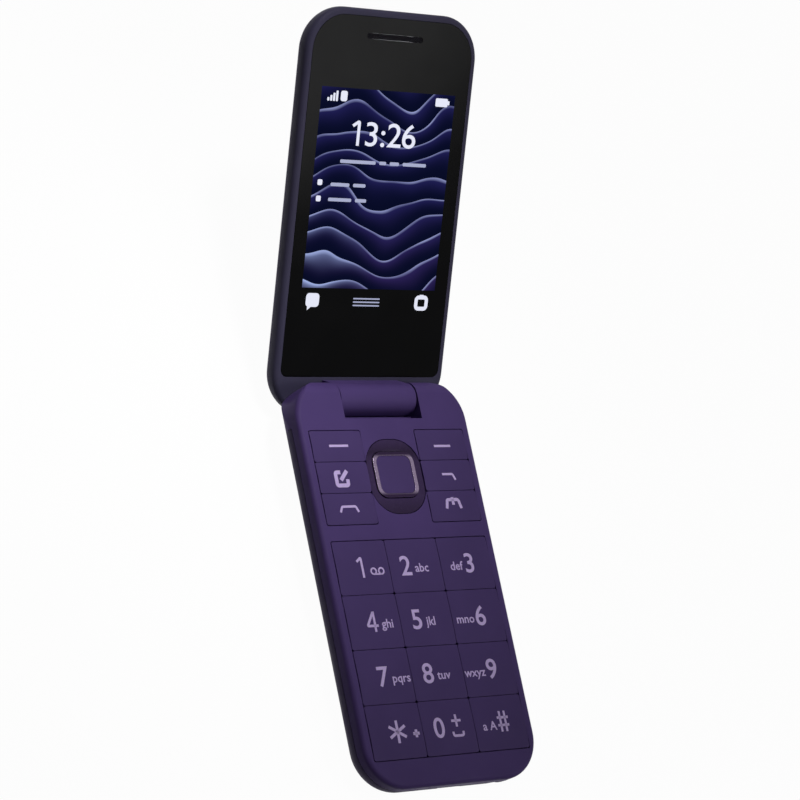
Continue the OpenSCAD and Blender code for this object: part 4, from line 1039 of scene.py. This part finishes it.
class FLIPPHONE_OT_grilles(PhoneOperator):
    """Weaves the gauze of the earpiece and of the loudspeaker"""

    bl_idname = "flip_phone.grilles"
    bl_label = "Weave Grilles"

    pitch: length("Pitch", "Distance of the earpiece's wires", 0.36)
    wire: length("Wire", "Radius of the earpiece's wires", 0.06)
    speaker_pitch: length("Speaker pitch", "Distance of the loudspeaker's wires", 0.504)
    speaker_wire: length("Speaker wire", "Radius of the loudspeaker's wires", 0.072)
    speaker_margin: length("Speaker margin", "Bare length at both ends of the loudspeaker together", 5.0)
    speaker_edge: length("Speaker edge", "Bare width at both sides of the loudspeaker together", 1.0)
    speaker_round: length("Speaker round", "Rounding of the corners of the loudspeaker's gauze", 1.0)
    cover: length("Cover", "Thickness of the back cover below the gauze", 1.0)

    def execute(self, context):
        steel = brushed("gauze_wire", "1b1a1e", roughness=0.5, grain=0.1 * MM)
        weave = gauze_tree()
        low, high = lid_box("earpiece_mesh")
        size = high - low
        ear = weave.grow("ear_gauze", path_mesh([(0, 0)]), Length=size.x, Height=size.y,
                         Pitch=self.pitch, Wire=self.wire, Round=size.y / 2)
        on_mesh = (low + high) / 2 + Vector((0, 0, size.z / 2 + self.wire))
        ear.transform(LID @ Matrix.Translation(on_mesh))
        piece("ear_gauze", ear, "lid", steel)

        low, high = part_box("loudspeaker")
        speaker = weave.grow("speaker_gauze", path_mesh([(0, 0)]),
                             Length=high.x - low.x - self.speaker_margin,
                             Height=high.y - low.y - self.speaker_edge,
                             Pitch=self.speaker_pitch, Wire=self.speaker_wire, Round=self.speaker_round)
        lift = self.cover + (1 + WEAVE) * self.speaker_wire
        speaker.transform(Matrix.Translation(((low.x + high.x) / 2, (low.y + high.y) / 2, lift)))
        piece("speaker_gauze", speaker, "base", steel)
        return {"FINISHED"}


class FLIPPHONE_OT_camera(PhoneOperator):
    """Adds the camera's ring and lens and the flash's lens on the outer window"""

    bl_idname = "flip_phone.camera"
    bl_label = "Fit Camera Trim"

    ring: length("Ring", "Radius of the camera's ring", 3.3)
    section: length("Section", "Radius of the ring's section", 0.14)
    flash_steps: IntProperty(name="Flash steps", description="Number of steps in the flash's lens",
                             default=5, min=1)

    # Outlines of turned lenses, radius and height in millimetres
    lens_outline = ((0, -0.02), (2.95, -0.02), (2.95, 0.03), (2.2, 0.05), (1.5, 0.02), (1.4, 0.08),
                    (0.7, 0.13), (0, 0.15))
    flash_rim = ((0, -0.02), (1.7, -0.02), (1.7, 0.04))
    flash_centre = (0, 0.07)
    step_start, step_pitch, step_width = 1.6, 0.3, 0.26
    step_top, step_foot = 0.09, 0.05

    def middle(self, node):
        """Middle of a lid node seen from behind, in millimetres."""
        low, high = lid_box(node)
        return -(low.x + high.x) / 2 / MM, (low.y + high.y) / 2 / MM

    def execute(self, context):
        face = lid_box("outer_window")[0].z
        behind = LID @ Matrix.Translation((0, 0, face)) @ Matrix.Rotation(math.pi, 4, "Y")
        camera = self.middle("camera_module")

        metal = brushed("camera_ring", "8d8798", roughness=0.25, grain=0.1 * MM)
        circle = arc(camera, self.ring / MM, 0, 360, 64)[:-1]
        ring = ring_tree().grow("camera_ring", path_mesh(circle, True), Section=self.section)
        ring.transform(behind)
        piece("camera_ring", ring, "lid", metal, smooth=True)

        glass = glassy("lens_glass", "11131f", roughness=0.05, specular=0.6)
        lens = lathe(self.lens_outline)
        lens.transform(behind @ at(*camera))
        piece("camera_lens", lens, "lid", glass, smooth=True)

        steps = []
        for i in range(self.flash_steps):
            outer = self.step_start - self.step_pitch * i
            steps += [(outer, self.step_top), (outer - self.step_width, self.step_foot)]
        cover = lathe([*self.flash_rim, *steps, self.flash_centre])
        cover.transform(behind @ at(*self.middle("flash_led")))
        phosphor = speckled("flash_cover", "c9c3a0", "e4dfc4", size=0.2 * MM, roughness=0.2)
        piece("flash_cover", cover, "lid", phosphor)
        return {"FINISHED"}


class FLIPPHONE_OT_contacts(PhoneOperator):
    """Adds the contact strips of the charging socket"""

    bl_idname = "flip_phone.contacts"
    bl_label = "Fit Socket Contacts"

    count: IntProperty(name="Count", description="Number of strips", default=5, min=1)
    pitch: length("Pitch", "Distance of the strips", 0.65)
    setback: length("Setback", "Distance from the socket's mouth to the middle of the strips", 2.6)
    tongue: length("Tongue", "Depth of the tongue's lower face below the socket's top", 1.2)
    proud: length("Proud", "How far a strip stands out below the tongue", 0.05)

    # Millimetres
    strip_width, strip_length, strip_round, strip_thickness = 0.38, 3.2, 0.15, 0.06

    def execute(self, context):
        low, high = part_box("usb_port")
        outline = rounded(self.strip_width, self.strip_length, self.strip_round)
        strip = plate_mesh(outline, self.strip_thickness * MM)
        row = row_tree().grow("usb_contacts", strip, Count=self.count, Pitch=self.pitch)
        foot = high.z - self.tongue - self.proud
        row.transform(Matrix.Translation(((low.x + high.x) / 2, low.y + self.setback, foot)))
        brass = brushed("socket_brass", "d2b463", roughness=0.25, grain=0.1 * MM)
        piece("usb_contacts", row, "base", brass)
        return {"FINISHED"}


class FLIPPHONE_OT_studio(PhoneOperator):
    """Sets the camera, lamps, world and floor"""

    bl_idname = "flip_phone.studio"
    bl_label = "Set Studio"

    # Metres from the floor's middle to its edge
    floor_reach = 3.0

    def execute(self, context):
        look = self.look.studio
        scene = context.scene
        scene.view_settings.view_transform = "Standard"
        scene.camera = linked("camera", bpy.data.cameras.new("camera"))
        scene.camera.data.lens = look.lens
        scene.camera.data.sensor_width = 36
        scene.camera.location = look.eye
        scene.camera.rotation_euler = look.aim
        key = bpy.data.lights.new("key_lamp", "SPOT")
        key.spot_size = look.key_cone
        key.spot_blend = 1.0
        key.shadow_soft_size = look.key_radius
        self.lamp(key, look.key_place, look.key_target, look.key_power)
        box = bpy.data.lights.new("soft_box", "AREA")
        box.shape = "DISK"
        box.size = look.fill_size
        self.lamp(box, look.fill_place, look.fill_target, look.fill_power)
        self.world(scene, look)
        self.floor(look)
        return {"FINISHED"}

    def lamp(self, light, where, target, power):
        light.energy = power
        item = linked(light.name, light)
        item.location = where
        item.rotation_euler = (Vector(target) - Vector(where)).to_track_quat("-Z", "Y").to_euler()
        item.visible_camera = False

    def seen(self, graph):
        """1 for rays that look at the background: camera, mirror and glass rays."""
        path = graph.add("ShaderNodeLightPath").outputs
        seen = graph.math("MAXIMUM", path["Is Camera Ray"], path["Is Glossy Ray"])
        return graph.math("MAXIMUM", seen, path["Is Transmission Ray"])

    def world(self, scene, look):
        scene.world = bpy.data.worlds.new("studio")
        scene.world.use_nodes = True
        graph = Graph(scene.world.node_tree)
        graph.tree.nodes.clear()
        strength = graph.out("ShaderNodeMapRange", {0: self.seen(graph), 3: look.ambient, 4: 1.0})
        sky = graph.out("ShaderNodeBackground", {"Color": (1, 1, 1, 1), "Strength": strength})
        graph.add("ShaderNodeOutputWorld", {"Surface": sky})

    def floor(self, look):
        """White paper that glows for rays that look at it and still takes the phone's shadow."""
        finish = Finish("floor")
        seen = self.seen(finish)
        paper = finish.spread(finish.noise(0.4), 0.38, 0.42)
        paper = finish.math("ADD", paper, finish.math("MULTIPLY", seen, 0.5))
        matt = finish.out("ShaderNodeBsdfDiffuse", {"Color": paper})
        glow = finish.out("ShaderNodeEmission", {"Color": (1, 1, 1, 1), "Strength": 1.0})
        glowing_share = finish.math("MULTIPLY", seen, look.floor_glow)
        both = finish.out("ShaderNodeMixShader", {0: glowing_share, 1: matt, 2: glow})
        finish.add("ShaderNodeOutputMaterial", {"Surface": both})
        sheet = bmesh.new()
        bmesh.ops.create_grid(sheet, x_segments=8, y_segments=8, size=self.floor_reach)
        tilt = Matrix.Rotation(look.floor_tilt, 4, "X")
        sheet.transform(Matrix.Translation((0, 0, -look.floor_drop)) @ tilt)
        floor = linked("floor", baked(sheet, "floor"))
        floor.data.materials.append(finish.material)


class FLIPPHONE_PT_looks(bpy.types.Panel):
    """Sidebar panel with the steps and settings of the phone's looks"""

    bl_idname = "FLIPPHONE_PT_looks"
    bl_label = "Flip Phone"
    bl_space_type = "VIEW_3D"
    bl_region_type = "UI"
    bl_category = "Flip Phone"

    def draw(self, context):
        look = context.scene.flip_phone
        for step in STEPS:
            self.layout.operator(step.bl_idname)
        for group in (look.casing, look.print, look.screen, look.studio):
            box = self.layout.box()
            for key in group.bl_rna.properties.keys():
                if key not in ("rna_type", "name"):
                    box.prop(group, key)


GROUPS = (CasingLook, PrintLook, ScreenLook, StudioLook, FlipPhone)
STEPS = (FLIPPHONE_OT_casing, FLIPPHONE_OT_keys, FLIPPHONE_OT_inside, FLIPPHONE_OT_key_print,
         FLIPPHONE_OT_screen, FLIPPHONE_OT_readout, FLIPPHONE_OT_grilles, FLIPPHONE_OT_camera,
         FLIPPHONE_OT_contacts, FLIPPHONE_OT_studio)


def register():
    for item in (*GROUPS, *STEPS, FLIPPHONE_PT_looks):
        bpy.utils.register_class(item)
    bpy.types.Scene.flip_phone = PointerProperty(type=FlipPhone)


def unregister():
    del bpy.types.Scene.flip_phone
    for item in reversed((*GROUPS, *STEPS, FLIPPHONE_PT_looks)):
        bpy.utils.unregister_class(item)


def main():
    register()
    for step in STEPS:
        group, name = step.bl_idname.split(".")
        getattr(getattr(bpy.ops, group), name)()


if __name__ == "__main__":
    main()
